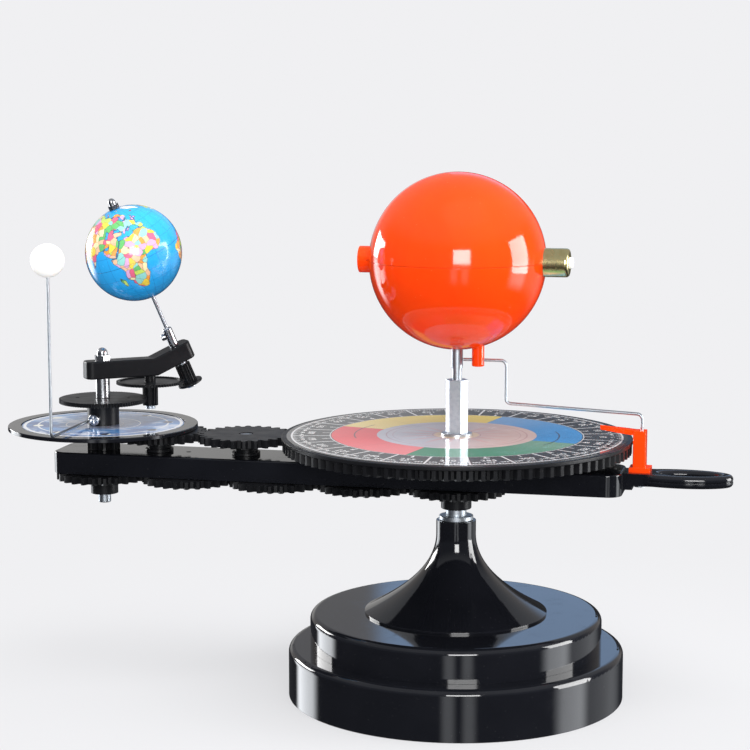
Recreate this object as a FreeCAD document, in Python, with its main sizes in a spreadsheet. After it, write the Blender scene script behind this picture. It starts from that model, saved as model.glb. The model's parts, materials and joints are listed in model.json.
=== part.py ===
import FreeCAD, Part
import math
import os

import Sketcher
from FreeCAD import Placement, Rotation, Vector

# A three-ball orrery (tellurion): a Sun with a torch inside on a fixed post, and a hand-turned arm that
# carries the Earth and the Moon round it through plastic gears.
# Frame: millimetres, origin at the centre of the base's resting face, +Z up, the Earth end at -X,
# the handle at +X.

doc = FreeCAD.newDocument("Orrery")

# ---------------------------------------------------------------------------------------------------
# Driving dimensions
# ---------------------------------------------------------------------------------------------------
DIMENSIONS = {
    # coarse gear train, all on the arm's centre line
    "coarse_module": 2.25,
    "idler_teeth": 26,
    "dial_teeth": 96,
    "moon_teeth": 8,
    "pressure_angle": 25,
    "addendum_factor": 0.7,
    "dial_addendum_factor": 0.5,
    "dedendum_factor": 0.95,
    "tooth_thinning": 0.1,
    # fine gear train that spins the Earth
    "fine_module": 0.62,
    "drive_teeth": 90,
    "transfer_teeth": 15,
    "crown_teeth": 70,
    "spin_teeth": 15,
    "fine_thinning": 0.09,
    "earth_tilt": 23.5,
    "bracket_heading": 39,
    "tilt_mesh_relief": 0.35,
    # fits
    "running_fit": 0.05,
    "end_play": 0.2,
    # base and stem
    "lower_tier_dia": 211.6,
    "lower_tier_height": 31.5,
    "upper_tier_dia": 184.2,
    "upper_tier_height": 20.7,
    "tier_wall": 3,
    "tier_edge_radius": 4,
    "plate_thickness": 2.5,
    "weight_dia": 150,
    "weight_thickness": 7,
    "stem_foot_dia": 115,
    "stem_neck_dia": 25,
    "stem_height": 59.3,
    "stem_neck_length": 8,
    "stem_wall": 3.2,
    "stem_flare_power": 2.15,
    "stem_nut_flats": 22,
    "stem_nut_height": 8,
    "weight_bore": 28,
    # column of the stand
    "washer_dia": 21.5,
    "washer_thickness": 3,
    "shaft_dia": 12.9,
    "spindle_dia": 8,
    "spindle_thread": 12,
    "shaft_tail": 24,
    "shaft_gap": 4.3,
    "collar_dia": 19.2,
    "collar_height": 9.8,
    "gear_thickness": 4.6,
    "arm_gap": 0.4,
    "dial_washer_dia": 19.5,
    "dial_washer_thickness": 1.5,
    "standoff_flats": 12.2,
    "standoff_height": 33.5,
    "post_dia": 6.2,
    # arm
    "arm_height": 14,
    "arm_width": 41,
    "arm_left": 263,
    "arm_right": 105,
    "arm_wall": 2.5,
    "arm_corner": 9,
    "arm_edge_radius": 1.2,
    "floor_thickness": 2,
    "oil_hole_x": -176,
    "oil_hole_dia": 3.2,
    "boss_dia": 14,
    "bush_dia": 12,
    "axle_dia": 5,
    "axle_head_dia": 8.4,
    "axle_head_height": 2,
    "axle_grip": 8,
    "screw_slot": 1,
    # upper gears and season dial
    "upper_gear_rise": 8.4,
    "upper_gear_thickness": 5.2,
    "idler_hub_dia": 18,
    "dial_rise": 9,
    "dial_teeth_height": 6,
    "dial_flange_dia": 219.4,
    "dial_flange_thickness": 2.6,
    "dial_boss_dia": 26,
    "dial_rim_width": 7,
    "dial_rib_width": 2.4,
    "sheet_thickness": 0.3,
    "dial_sheet_dia": 213,
    # handle
    "handle_end": 171.5,
    "handle_width": 29,
    "handle_thickness": 7.6,
    "handle_drop": 0.5,
    "handle_root": 22,
    "handle_root_width": 20,
    "handle_rim": 8,
    "handle_edge_radius": 2.6,
    # pointer post and link wire
    "post_x": 114.5,
    "post_wide": 8,
    "post_deep": 9,
    "post_top": 172.6,
    "post_screw_dia": 3,
    "pointer_tip_x": 90,
    "pointer_thickness": 3.4,
    "wire_dia": 2,
    "wire_bend": 3.2,
    "wire_high": 213.2,
    "wire_low_in": 186.5,
    "wire_low_out": 182.5,
    "wire_drop_x": 31,
    # Sun
    "sun_dia": 110,
    "sun_height": 274.6,
    "sun_wall": 2.2,
    "outlet_dia": 16.6,
    "outlet_bore": 13,
    "outlet_reach": 62,
    "torch_dia": 17.8,
    "torch_reach": 69.8,
    "torch_inner": 38,
    "torch_wall": 1,
    "torch_tail_wall": 3,
    "cell_dia": 13.2,
    "cell_length": 40,
    "lamp_dia": 5,
    "button_dia": 7,
    "button_proud": 2.4,
    "sleeve_dia": 7.3,
    "sleeve_length": 26,
    "sleeve_bottom": 207.9,
    "peg_dia": 7.7,
    "peg_offset": 13.3,
    "peg_bottom": 209.2,
    "seam_width": 0.5,
    "seam_depth": 0.45,
    # Moon carrier
    "carrier_shaft_dia": 6,
    "carrier_head_dia": 8.1,
    "carrier_head_height": 6.2,
    "carrier_collar_dia": 17.7,
    "carrier_collar_height": 10.1,
    "moon_sleeve_dia": 9,
    "moon_disc_dia": 122.6,
    "moon_disc_thickness": 1.9,
    "moon_disc_rise": 14.1,
    "moon_rim_height": 0.6,
    "moon_sheet_dia": 104.6,
    "moon_hub_dia": 20.5,
    "moon_hub_height": 14.5,
    "drive_gear_thickness": 2.7,
    "drive_pin_hole": 2.6,
    "drive_pin_circle": 33.6,
    "moon_wire_offset": 7.5,
    "moon_wire_reach": 71.6,
    "moon_wire_rise": 2.9,
    "moon_wire_dia": 1.9,
    "moon_dia": 20.9,
    "moon_height": 276,
    "hub_screw_dia": 7.6,
    "hub_screw_rise": 4.4,
    "hub_screw_head": 3.4,
    "hub_screw_thread": 3,
    "hub_screw_heading": 260,
    # Earth carrier
    "spacer_dia": 9.1,
    "spacer_height": 12.8,
    "bracket_thickness": 11.5,
    "bracket_width": 14,
    "bracket_bend": 36,
    "bracket_tail": 12,
    "bracket_nose": 9.5,
    "bracket_end_radius": 4.5,
    "bracket_edge_radius": 1,
    "acorn_flats": 9,
    "acorn_height": 8.4,
    "acorn_hex_share": 0.4,
    "acorn_dome_share": 0.38,
    "transfer_axle_dia": 3,
    "transfer_collar_dia": 7.2,
    "transfer_collar_height": 3.6,
    "crown_thickness": 1.8,
    "crown_dish": 0.7,
    "transfer_pinion_height": 14.4,
    "spin_pinion_length": 13,
    "spin_pinion_gap": 2.2,
    "spin_flange_dia": 16.6,
    "spin_flange_thickness": 1.6,
    "spin_shaft_dia": 3,
    "coupling_dia": 6.2,
    "coupling_length": 12.5,
    "coupling_screw_dia": 4.4,
    "coupling_screw_head": 2.6,
    "coupling_screw_heading": 162,
    "coupling_screw_drop": 4.8,
    "spindle_rod_dia": 2.6,
    "earth_dia": 62.6,
    "earth_wall": 1.4,
    "earth_lift": 93,
    "pole_nut_flats": 6.2,
    "pole_nut_height": 7.2,
}

sheet = doc.addObject("Spreadsheet::Sheet", "Params")
for row, (alias, number) in enumerate(DIMENSIONS.items(), start=1):
    sheet.set(f"A{row}", alias)
    sheet.set(f"B{row}", str(number))
    sheet.setAlias(f"B{row}", alias)
doc.recompute()


class Size:
    """A length with its value and the expression that gives it from the sheet's cells."""

    def __init__(self, value, text):
        self.value = float(value)
        self.text = text

    @staticmethod
    def of(other):
        if isinstance(other, Size):
            return other
        return Size(other, repr(other))

    def joined(self, other, sign, value):
        return Size(value, f"({self.text} {sign} {Size.of(other).text})")

    def __add__(self, other):
        return self.joined(other, "+", self.value + Size.of(other).value)

    def __radd__(self, other):
        return Size.of(other) + self

    def __sub__(self, other):
        return self.joined(other, "-", self.value - Size.of(other).value)

    def __rsub__(self, other):
        return Size.of(other) - self

    def __mul__(self, other):
        return self.joined(other, "*", self.value * Size.of(other).value)

    def __rmul__(self, other):
        return Size.of(other) * self

    def __truediv__(self, other):
        return self.joined(other, "/", self.value / Size.of(other).value)

    def __neg__(self):
        return Size(-self.value, f"(-1 * {self.text})")


class Sizes:
    """Every cell of the sheet, read by its alias."""

    def __getattr__(self, alias):
        return Size(sheet.get(alias), f"Params.{alias}")


P = Sizes()
ZERO = Size(0, "0")
IDLER_TEETH = int(P.idler_teeth.value)
DIAL_TEETH = int(P.dial_teeth.value)
MOON_TEETH = int(P.moon_teeth.value)
DRIVE_TEETH = int(P.drive_teeth.value)
TRANSFER_TEETH = int(P.transfer_teeth.value)
CROWN_TEETH = int(P.crown_teeth.value)
SPIN_TEETH = int(P.spin_teeth.value)

# ---------------------------------------------------------------------------------------------------
# Heights and stations worked out from the driving dimensions
# ---------------------------------------------------------------------------------------------------
FIT = P.running_fit
PLAY = P.end_play
STEP = P.coarse_module * P.idler_teeth
EARTH_X = -4 * STEP
UPPER_A_X = EARTH_X + P.coarse_module * (P.moon_teeth + P.idler_teeth) / 2 + STEP
UPPER_B_X = EARTH_X + P.coarse_module * (P.moon_teeth + P.idler_teeth) / 2

UPPER_TIER_Z = P.lower_tier_height
STEM_Z = UPPER_TIER_Z + P.upper_tier_height
STEM_TOP = STEM_Z + P.stem_height
COLLAR_Z = STEM_TOP + P.washer_thickness + P.shaft_gap
LOWER_GEAR_Z = COLLAR_Z + P.collar_height
ARM_Z = LOWER_GEAR_Z + P.gear_thickness + P.arm_gap
ARM_TOP = ARM_Z + P.arm_height
UPPER_GEAR_Z = ARM_TOP + P.upper_gear_rise
DIAL_Z = ARM_TOP + P.dial_rise
FLANGE_Z = DIAL_Z + P.dial_teeth_height
DIAL_TOP = FLANGE_Z + P.dial_flange_thickness
STANDOFF_Z = DIAL_TOP + P.sheet_thickness + P.dial_washer_thickness
STANDOFF_TOP = STANDOFF_Z + P.standoff_height

MOON_DISC_Z = ARM_TOP + P.moon_disc_rise
MOON_TOP = MOON_DISC_Z + P.moon_disc_thickness
HUB_Z = MOON_TOP + P.sheet_thickness
DRIVE_Z = HUB_Z + P.moon_hub_height
DRIVE_TOP = DRIVE_Z + P.drive_gear_thickness
SPACER_Z = DRIVE_TOP + PLAY
BRACKET_Z = SPACER_Z + P.spacer_height
BRACKET_TOP = BRACKET_Z + P.bracket_thickness

TRANSFER_REACH = P.fine_module * (P.drive_teeth + P.transfer_teeth) / 2
CROWN_TOP = BRACKET_Z - P.transfer_collar_height - PLAY
CROWN_Z = CROWN_TOP - P.crown_thickness
CROWN_MID = CROWN_TOP - P.crown_thickness / 2
HEADING = math.radians(P.bracket_heading.value)
TILT = math.radians(P.earth_tilt.value)
CROWN_RADIUS = (P.fine_module * P.crown_teeth / 2).value
SPIN_RADIUS = (P.fine_module * P.spin_teeth / 2).value
SPIN_REACH = TRANSFER_REACH.value + CROWN_RADIUS + SPIN_RADIUS / math.cos(TILT) + P.tilt_mesh_relief.value

# in the upright plane of the bracket: along its sloping part, and square to it along the Earth's axis
SLOPE = Vector(math.cos(TILT), 0, math.sin(TILT))
LIFT = Vector(-math.sin(TILT), 0, math.cos(TILT))
BEND_LOW = Vector(P.bracket_bend.value, 0, BRACKET_Z.value)
AXIS_POINT = Vector(SPIN_REACH, 0, CROWN_MID.value)
BRACKET_UNDER = (BEND_LOW - AXIS_POINT).dot(LIFT)


def along_heading(reach, height):
    """A point at a distance from the Earth column along the bracket's heading."""
    return Vector(EARTH_X.value + reach * math.cos(HEADING), reach * math.sin(HEADING), height)


# The Earth's axis leans back over its column; its own +Z is the axis, its +X points away from the crown.
SPIN_PLACEMENT = Placement(
    along_heading(SPIN_REACH, CROWN_MID.value),
    Rotation(Vector(0, 0, 1), math.degrees(HEADING)) * Rotation(Vector(0, 1, 0), -math.degrees(TILT)),
)

# ---------------------------------------------------------------------------------------------------
# Building blocks
# ---------------------------------------------------------------------------------------------------
pieces = []


def publish(piece, label):
    """Give a finished sub-part its own label, which names its file."""
    piece.Label = label
    pieces.append(piece)
    return piece


def bind(piece, name, size):
    piece.setExpression(name, Size.of(size).text)


def place(piece, x=ZERO, y=ZERO, z=ZERO, rotation=None):
    """Bind a piece's position to the sheet, with a fixed rotation."""
    x, y, z = Size.of(x), Size.of(y), Size.of(z)
    piece.Placement = Placement(Vector(x.value, y.value, z.value), rotation or Rotation())
    bind(piece, ".Placement.Base.x", x)
    bind(piece, ".Placement.Base.y", y)
    bind(piece, ".Placement.Base.z", z)
    return piece


def primitive(kind, name, sizes, x, y, z, rotation):
    solid = doc.addObject(kind, name)
    for key, size in sizes.items():
        bind(solid, key, size)
    return place(solid, x, y, z, rotation)


def cylinder(name, radius, height, x=ZERO, y=ZERO, z=ZERO, rotation=None):
    return primitive("Part::Cylinder", name, {"Radius": radius, "Height": height}, x, y, z, rotation)


def block(name, length, width, height, x=ZERO, y=ZERO, z=ZERO, rotation=None):
    sizes = {"Length": length, "Width": width, "Height": height}
    return primitive("Part::Box", name, sizes, x, y, z, rotation)


def hexagon(name, flats, height, x=ZERO, y=ZERO, z=ZERO):
    sizes = {"Circumradius": flats / math.sqrt(3), "Height": height}
    prism = primitive("Part::Prism", name, sizes, x, y, z, None)
    prism.Polygon = 6
    return prism


def fuse(name, shapes):
    joined = doc.addObject("Part::MultiFuse", name)
    joined.Shapes = shapes
    return joined


def cut(name, base, tools):
    tool = tools[0] if len(tools) == 1 else fuse(name + "_tools", tools)
    result = doc.addObject("Part::Cut", name)
    result.Base = base
    result.Tool = tool
    return result


def group(name, shapes):
    bundle = doc.addObject("Part::Compound", name)
    bundle.Links = shapes
    return bundle


def plane_of(body, role):
    return next(item for item in body.Origin.OriginFeatures if item.Role == role)


def outline(sketch, points):
    """A closed polygon whose corners are bound to the sheet, point by point."""
    count = len(points)
    for index, (first, second) in enumerate(zip(points, points[1:] + points[:1])):
        ends = [Vector(Size.of(value[0]).value, Size.of(value[1]).value, 0) for value in (first, second)]
        sketch.addGeometry(Part.LineSegment(*ends), False)
    for index in range(count):
        sketch.addConstraint(Sketcher.Constraint("Coincident", index, 2, (index + 1) % count, 1))
    for index, point in enumerate(points):
        for kind, axis, size in (("DistanceX", -2, point[0]), ("DistanceY", -1, point[1])):
            size = Size.of(size)
            if abs(size.value) < 1e-9:
                sketch.addConstraint(Sketcher.Constraint("PointOnObject", index, 1, axis))
            else:
                number = sketch.addConstraint(Sketcher.Constraint(kind, -1, 1, index, 1, size.value))
                sketch.renameConstraint(number, f"{kind}_{index}")
                sketch.setExpression(f"Constraints.{kind}_{index}", size.text)


def turned(label, profile, x=ZERO, y=ZERO, z=ZERO, rounded=(), radius=None):
    """A body turned about its own Z axis from (radius, height) corners, with some corners rounded."""
    body = doc.addObject("PartDesign::Body", label)
    sketch = body.newObject("Sketcher::SketchObject", label + "_profile")
    sketch.AttachmentSupport = (plane_of(body, "XZ_Plane"), [""])
    sketch.MapMode = "FlatFace"
    outline(sketch, profile)
    turning = body.newObject("PartDesign::Revolution", label + "_turning")
    turning.Profile = sketch
    turning.ReferenceAxis = (sketch, ["V_Axis"])
    turning.Angle = 360
    doc.recompute()
    if rounded:
        names = rim_names(turning.Shape, [profile[corner] for corner in rounded])
        dress(body, "PartDesign::Fillet", turning, names, radius)
    place(body, x, y, z)
    return publish(body, label)


def rim_names(shape, rims):
    """Names of the circular edges that run through the given (radius, height) corners."""
    names = []
    for number, edge in enumerate(shape.Edges, start=1):
        curve = edge.Curve
        if not isinstance(curve, Part.Circle):
            continue
        for rim_radius, rim_height in rims:
            same_radius = abs(curve.Radius - Size.of(rim_radius).value) < 1e-4
            if same_radius and abs(curve.Center.z - Size.of(rim_height).value) < 1e-4:
                names.append(f"Edge{number}")
    return names


def dress(body, kind, feature, names, radius):
    rounding = body.newObject(kind, body.Name + "_edges")
    rounding.Base = (feature, names)
    bind(rounding, "Radius", radius)
    doc.recompute()
    return rounding


def ring(label, outer, inner, height, x=ZERO, y=ZERO, z=ZERO, rounded=(), radius=None):
    """A plain ring, washer or bush with its lower face at its own origin."""
    profile = [(inner, ZERO), (outer, ZERO), (outer, height), (inner, height)]
    return turned(label, profile, x, y, z, rounded, radius)


def shaped(label, shape, placement=None):
    """A sub-part whose shape is computed here from the sheet's sizes."""
    piece = doc.addObject("Part::Feature", label)
    piece.Shape = shape
    if placement:
        piece.Placement = placement
    return publish(piece, label)


def disc_shape(radius, height, z=0.0):
    return Part.makeCylinder(radius, height, Vector(0, 0, z))


def upright(x=ZERO, y=ZERO, z=ZERO):
    return Placement(Vector(Size.of(x).value, Size.of(y).value, Size.of(z).value), Rotation())


def flat_edges(shape):
    """The edges that lie level."""
    return [edge for edge in shape.Edges if edge.BoundBox.ZLength < 0.01]


def sharp_edges(shape):
    """The edges where two faces meet at an angle, not the seams between tangent faces."""
    found = []
    for edge in shape.Edges:
        middle = edge.valueAt((edge.FirstParameter + edge.LastParameter) / 2)
        faces = shape.ancestorsOfType(edge, Part.Face)
        if len(faces) == 2:
            normals = [face.normalAt(*face.Surface.parameter(middle)) for face in faces]
            if normals[0].getAngle(normals[1]) > math.radians(15):
                found.append(edge)
    return found


def polar(radius, angle):
    return Vector(radius * math.cos(angle), radius * math.sin(angle), 0)


def acorn_shape(flats, height, bore_radius, bore_depth, seat=0.0):
    """A domed cap nut that stands on the seat height."""
    corner = flats / math.sqrt(3)
    hex_height = height * P.acorn_hex_share.value
    dome_radius = flats * P.acorn_dome_share.value
    base = Vector(0, 0, seat)
    nut = Part.Face(Part.makePolygon([polar(corner, math.radians(60 * k)) + base for k in range(7)]))
    nut = nut.extrude(Vector(0, 0, hex_height))
    neck = disc_shape(dome_radius, height - dome_radius - hex_height / 2, seat + hex_height / 2)
    nut = nut.fuse(neck)
    nut = nut.fuse(Part.makeSphere(dome_radius, Vector(0, 0, seat + height - dome_radius)))
    return nut.cut(disc_shape(bore_radius, bore_depth + 1, seat - 1)).removeSplitter()


# ---------------------------------------------------------------------------------------------------
# Gears
# ---------------------------------------------------------------------------------------------------
def involute(angle):
    return math.tan(angle) - angle


def gear_shape(teeth, module, thinning, thickness, addendum, phase):
    """A spur gear blank: involute flanks as arcs, a tooth centred on the phase angle."""
    pressure = math.radians(P.pressure_angle.value)
    pitch_radius = module * teeth / 2
    base_radius = pitch_radius * math.cos(pressure)
    root_radius = pitch_radius - P.dedendum_factor.value * module
    tip_radius = pitch_radius + addendum * module
    foot_radius = max(root_radius, base_radius)
    half_pitch_angle = (math.pi * module / 2 - 2 * thinning) / (2 * pitch_radius)

    def half_angle(radius):
        turn = math.acos(min(1.0, base_radius / radius))
        return half_pitch_angle + involute(pressure) - involute(turn)

    stations = [foot_radius, (foot_radius + tip_radius) / 2, tip_radius]
    edges = []
    pitch_angle = 2 * math.pi / teeth
    for tooth in range(teeth):
        centre = phase + tooth * pitch_angle
        rising = [polar(radius, centre - half_angle(radius)) for radius in stations]
        falling = [polar(radius, centre + half_angle(radius)) for radius in reversed(stations)]
        foot = half_angle(foot_radius)
        edges.append(Part.Arc(*rising).toShape())
        edges.append(Part.Arc(rising[-1], polar(tip_radius, centre), falling[0]).toShape())
        edges.append(Part.Arc(*falling).toShape())
        gap_start = polar(root_radius, centre + foot)
        gap_end = polar(root_radius, centre + pitch_angle - foot)
        if root_radius < base_radius:
            edges.append(Part.LineSegment(falling[-1], gap_start).toShape())
        else:
            gap_start = falling[-1]
        edges.append(Part.Arc(gap_start, polar(root_radius, centre + pitch_angle / 2), gap_end).toShape())
        if root_radius < base_radius:
            next_foot = polar(foot_radius, centre + pitch_angle - foot)
            edges.append(Part.LineSegment(gap_end, next_foot).toShape())
    return Part.Face(Part.Wire(edges)).extrude(Vector(0, 0, thickness))


def meshing_phase(teeth_a, phase_a, teeth_b, direction):
    """Phase of gear B so that its gap meets gear A's tooth, B lying in a direction from A."""
    share = (phase_a - direction) * teeth_a / (2 * math.pi)
    return direction + math.pi + (0.5 - share) * 2 * math.pi / teeth_b


def coarse_gear(teeth, thickness, phase, addendum=P.addendum_factor):
    module = P.coarse_module.value
    return gear_shape(teeth, module, P.tooth_thinning.value, thickness.value, addendum.value, phase)


def fine_gear(teeth, thickness, phase):
    module = P.fine_module.value
    addendum = P.addendum_factor.value
    return gear_shape(teeth, module, P.fine_thinning.value, thickness.value, addendum, phase)


# ---------------------------------------------------------------------------------------------------
# Stand: base, stem and column
# ---------------------------------------------------------------------------------------------------
def make_base():
    outer = P.lower_tier_dia / 2
    wall = P.tier_wall
    high = P.lower_tier_height
    seat = P.upper_tier_dia / 2 - 3 * wall
    turned(
        "base_lower_tier",
        [
            (outer - wall, ZERO),
            (outer, ZERO),
            (outer, high),
            (seat, high),
            (seat, high - wall),
            (outer - wall, high - wall),
        ],
        rounded=(2,),
        radius=P.tier_edge_radius,
    )
    rim = P.upper_tier_dia / 2
    rise = P.upper_tier_height
    bore = P.shaft_dia / 2
    turned(
        "base_upper_tier",
        [
            (rim - wall, ZERO),
            (rim, ZERO),
            (rim, rise),
            (bore, rise),
            (bore, rise - wall),
            (rim - wall, rise - wall),
        ],
        z=UPPER_TIER_Z,
        rounded=(2,),
        radius=P.tier_edge_radius,
    )
    publish(cylinder("plate_disc", outer - wall - 0.1, P.plate_thickness), "base_bottom_plate")
    ring("base_weight", P.weight_dia / 2, P.weight_bore / 2, P.weight_thickness, z=P.plate_thickness)


def make_stem():
    """A flared foot that narrows to a straight neck by a power curve, hollow below the neck."""
    foot = P.stem_foot_dia.value / 2
    neck = P.stem_neck_dia.value / 2
    height = P.stem_height.value
    flare = height - P.stem_neck_length.value
    wall = P.stem_wall.value
    bore = P.shaft_dia.value / 2
    lip = 1.2

    def flare_points(shrink, top):
        points = []
        for share in (1.0, 0.88, 0.74, 0.58, 0.4, 0.2, 0.0):
            radius = neck + (foot - neck) * share ** P.stem_flare_power.value - shrink
            points.append(Vector(radius, 0, lip + (top - lip) * (1 - share)))
        return points

    outside = Part.BSplineCurve()
    outer_points = flare_points(0, flare)
    outside.interpolate(outer_points)
    inside = Part.BSplineCurve()
    inner_points = flare_points(wall, flare - wall)
    inner_points[0] = Vector(foot - wall - 2, 0, 0)
    inside.interpolate(inner_points)
    corners = [
        Vector(foot, 0, 0),
        outer_points[0],
        outer_points[-1],
        Vector(neck, 0, height),
        Vector(bore, 0, height),
        Vector(bore, 0, inner_points[-1].z + 1),
        inner_points[-1],
        inner_points[0],
    ]
    edges = [
        Part.LineSegment(corners[0], corners[1]).toShape(),
        outside.toShape(),
        Part.LineSegment(corners[2], corners[3]).toShape(),
        Part.LineSegment(corners[3], corners[4]).toShape(),
        Part.LineSegment(corners[4], corners[5]).toShape(),
        Part.LineSegment(corners[5], corners[6]).toShape(),
        inside.toShape(),
        Part.LineSegment(corners[7], corners[0]).toShape(),
    ]
    face = Part.Face(Part.Wire(Part.__sortEdges__(edges)))
    horn = face.revolve(Vector(0, 0, 0), Vector(0, 0, 1), 360)
    shaped("stem", horn, upright(z=STEM_Z))


def make_column():
    shaft = P.shaft_dia / 2
    spindle = P.spindle_dia / 2
    thick = P.washer_thickness
    ring("stem_washer", P.washer_dia / 2, shaft, thick, z=STEM_TOP, rounded=(1, 2), radius=thick / 6)
    foot = STEM_Z - P.shaft_tail
    top = STANDOFF_Z - foot + P.spindle_thread
    turned(
        "central_shaft",
        [
            (ZERO, ZERO),
            (shaft, ZERO),
            (shaft, COLLAR_Z - foot),
            (spindle, COLLAR_Z - foot),
            (spindle, top),
            (ZERO, top),
        ],
        z=foot,
    )
    nut_height = P.stem_nut_height
    nut_z = STEM_Z - P.tier_wall - nut_height
    nut = hexagon("stem_nut_blank", P.stem_nut_flats, nut_height, z=nut_z)
    nut_bore = cylinder("stem_nut_bore", shaft, nut_height + 2, z=nut_z - 1)
    publish(cut("stem_nut_cut", nut, [nut_bore]), "stem_nut")

    gear = coarse_gear(IDLER_TEETH, P.gear_thickness, LOWER_PHASES[0])
    gear.translate(Vector(0, 0, P.collar_height.value))
    collar = disc_shape(P.collar_dia.value / 2, P.collar_height.value)
    lower_rim = [edge for edge in flat_edges(collar) if edge.BoundBox.ZMax < 0.01]
    hub = gear.fuse(collar.makeFillet(0.8, lower_rim))
    hub = hub.cut(disc_shape(spindle.value, 40, -5)).removeSplitter()
    shaped("fixed_lower_gear", hub, upright(z=COLLAR_Z))


def make_dial():
    """The season dial: a fixed gear rim under a flange, with a ribbed underside and a centre boss."""
    teeth_height = P.dial_teeth_height.value
    flange = P.dial_flange_thickness.value
    rib_width = P.dial_rib_width.value
    rim = coarse_gear(DIAL_TEETH, P.dial_teeth_height, DIAL_PHASE, P.dial_addendum_factor)
    plate = disc_shape(P.dial_flange_dia.value / 2, flange, teeth_height)
    plate = plate.makeFillet(flange / 4, flat_edges(plate))
    underside = (P.coarse_module * P.dial_teeth / 2 - P.dial_rim_width).value
    hollow = disc_shape(underside, teeth_height + 0.5, -1)
    dial = rim.fuse(plate).cut(hollow)
    boss_drop = P.dial_rise.value - PLAY.value
    boss = disc_shape(P.dial_boss_dia.value / 2, boss_drop + teeth_height, -boss_drop)
    dial = dial.fuse(boss)
    for index in range(6):
        rib = Part.makeBox(underside + 3, rib_width, teeth_height - 1, Vector(0, -rib_width / 2, 1))
        rib.rotate(Vector(0, 0, 0), Vector(0, 0, 1), 30 + 60 * index)
        dial = dial.fuse(rib)
    dial = dial.cut(disc_shape(P.spindle_dia.value / 2, 60, -20)).removeSplitter()
    shaped("season_dial", dial, upright(z=DIAL_Z))
    ring("season_dial_sheet", P.dial_sheet_dia / 2, P.spindle_dia / 2, P.sheet_thickness, z=DIAL_TOP)
    ring(
        "dial_washer",
        P.dial_washer_dia / 2,
        P.spindle_dia / 2,
        P.dial_washer_thickness,
        z=DIAL_TOP + P.sheet_thickness,
        rounded=(2,),
        radius=P.dial_washer_thickness / 4,
    )
    post_socket = P.post_dia / 2
    depth = P.spindle_thread
    blank = hexagon("standoff_blank", P.standoff_flats, P.standoff_height, z=STANDOFF_Z)
    lower_bore = cylinder("standoff_thread", P.spindle_dia / 2, depth, z=STANDOFF_Z)
    upper_bore = cylinder("standoff_socket", post_socket, depth, z=STANDOFF_TOP - depth)
    publish(cut("standoff_cut", blank, [lower_bore, upper_bore]), "hex_standoff")
    post_top = P.sleeve_bottom + P.sleeve_length - 4
    post_z = STANDOFF_TOP - depth + 0.5
    publish(cylinder("post_rod", post_socket, post_top - post_z, z=post_z), "sun_post")


# ---------------------------------------------------------------------------------------------------
# Arm
# ---------------------------------------------------------------------------------------------------
def lower_stations():
    """Places of the lower idlers, counted from the column."""
    return [-1 * STEP, -2 * STEP, -3 * STEP]


def upper_stations():
    return [UPPER_A_X, UPPER_B_X]


def rounded_slab(name, left, right, width, height, corner):
    """A flat slab with rounded upright corners, its lower face at z = 0."""
    body = doc.addObject("PartDesign::Body", name)
    sketch = body.newObject("Sketcher::SketchObject", name + "_plan")
    sketch.AttachmentSupport = (plane_of(body, "XY_Plane"), [""])
    sketch.MapMode = "FlatFace"
    outline(
        sketch,
        [(-left, -(width / 2)), (right, -(width / 2)), (right, width / 2), (-left, width / 2)],
    )
    pad = body.newObject("PartDesign::Pad", name + "_pad")
    pad.Profile = sketch
    bind(pad, "Length", height)
    doc.recompute()
    uprights = []
    for number, edge in enumerate(pad.Shape.Edges, start=1):
        box = edge.BoundBox
        if box.ZLength > height.value - 0.01 and box.XLength < 0.01 and box.YLength < 0.01:
            uprights.append(f"Edge{number}")
    rounding = dress(body, "PartDesign::Fillet", pad, uprights, corner)
    return body, rounding


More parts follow.
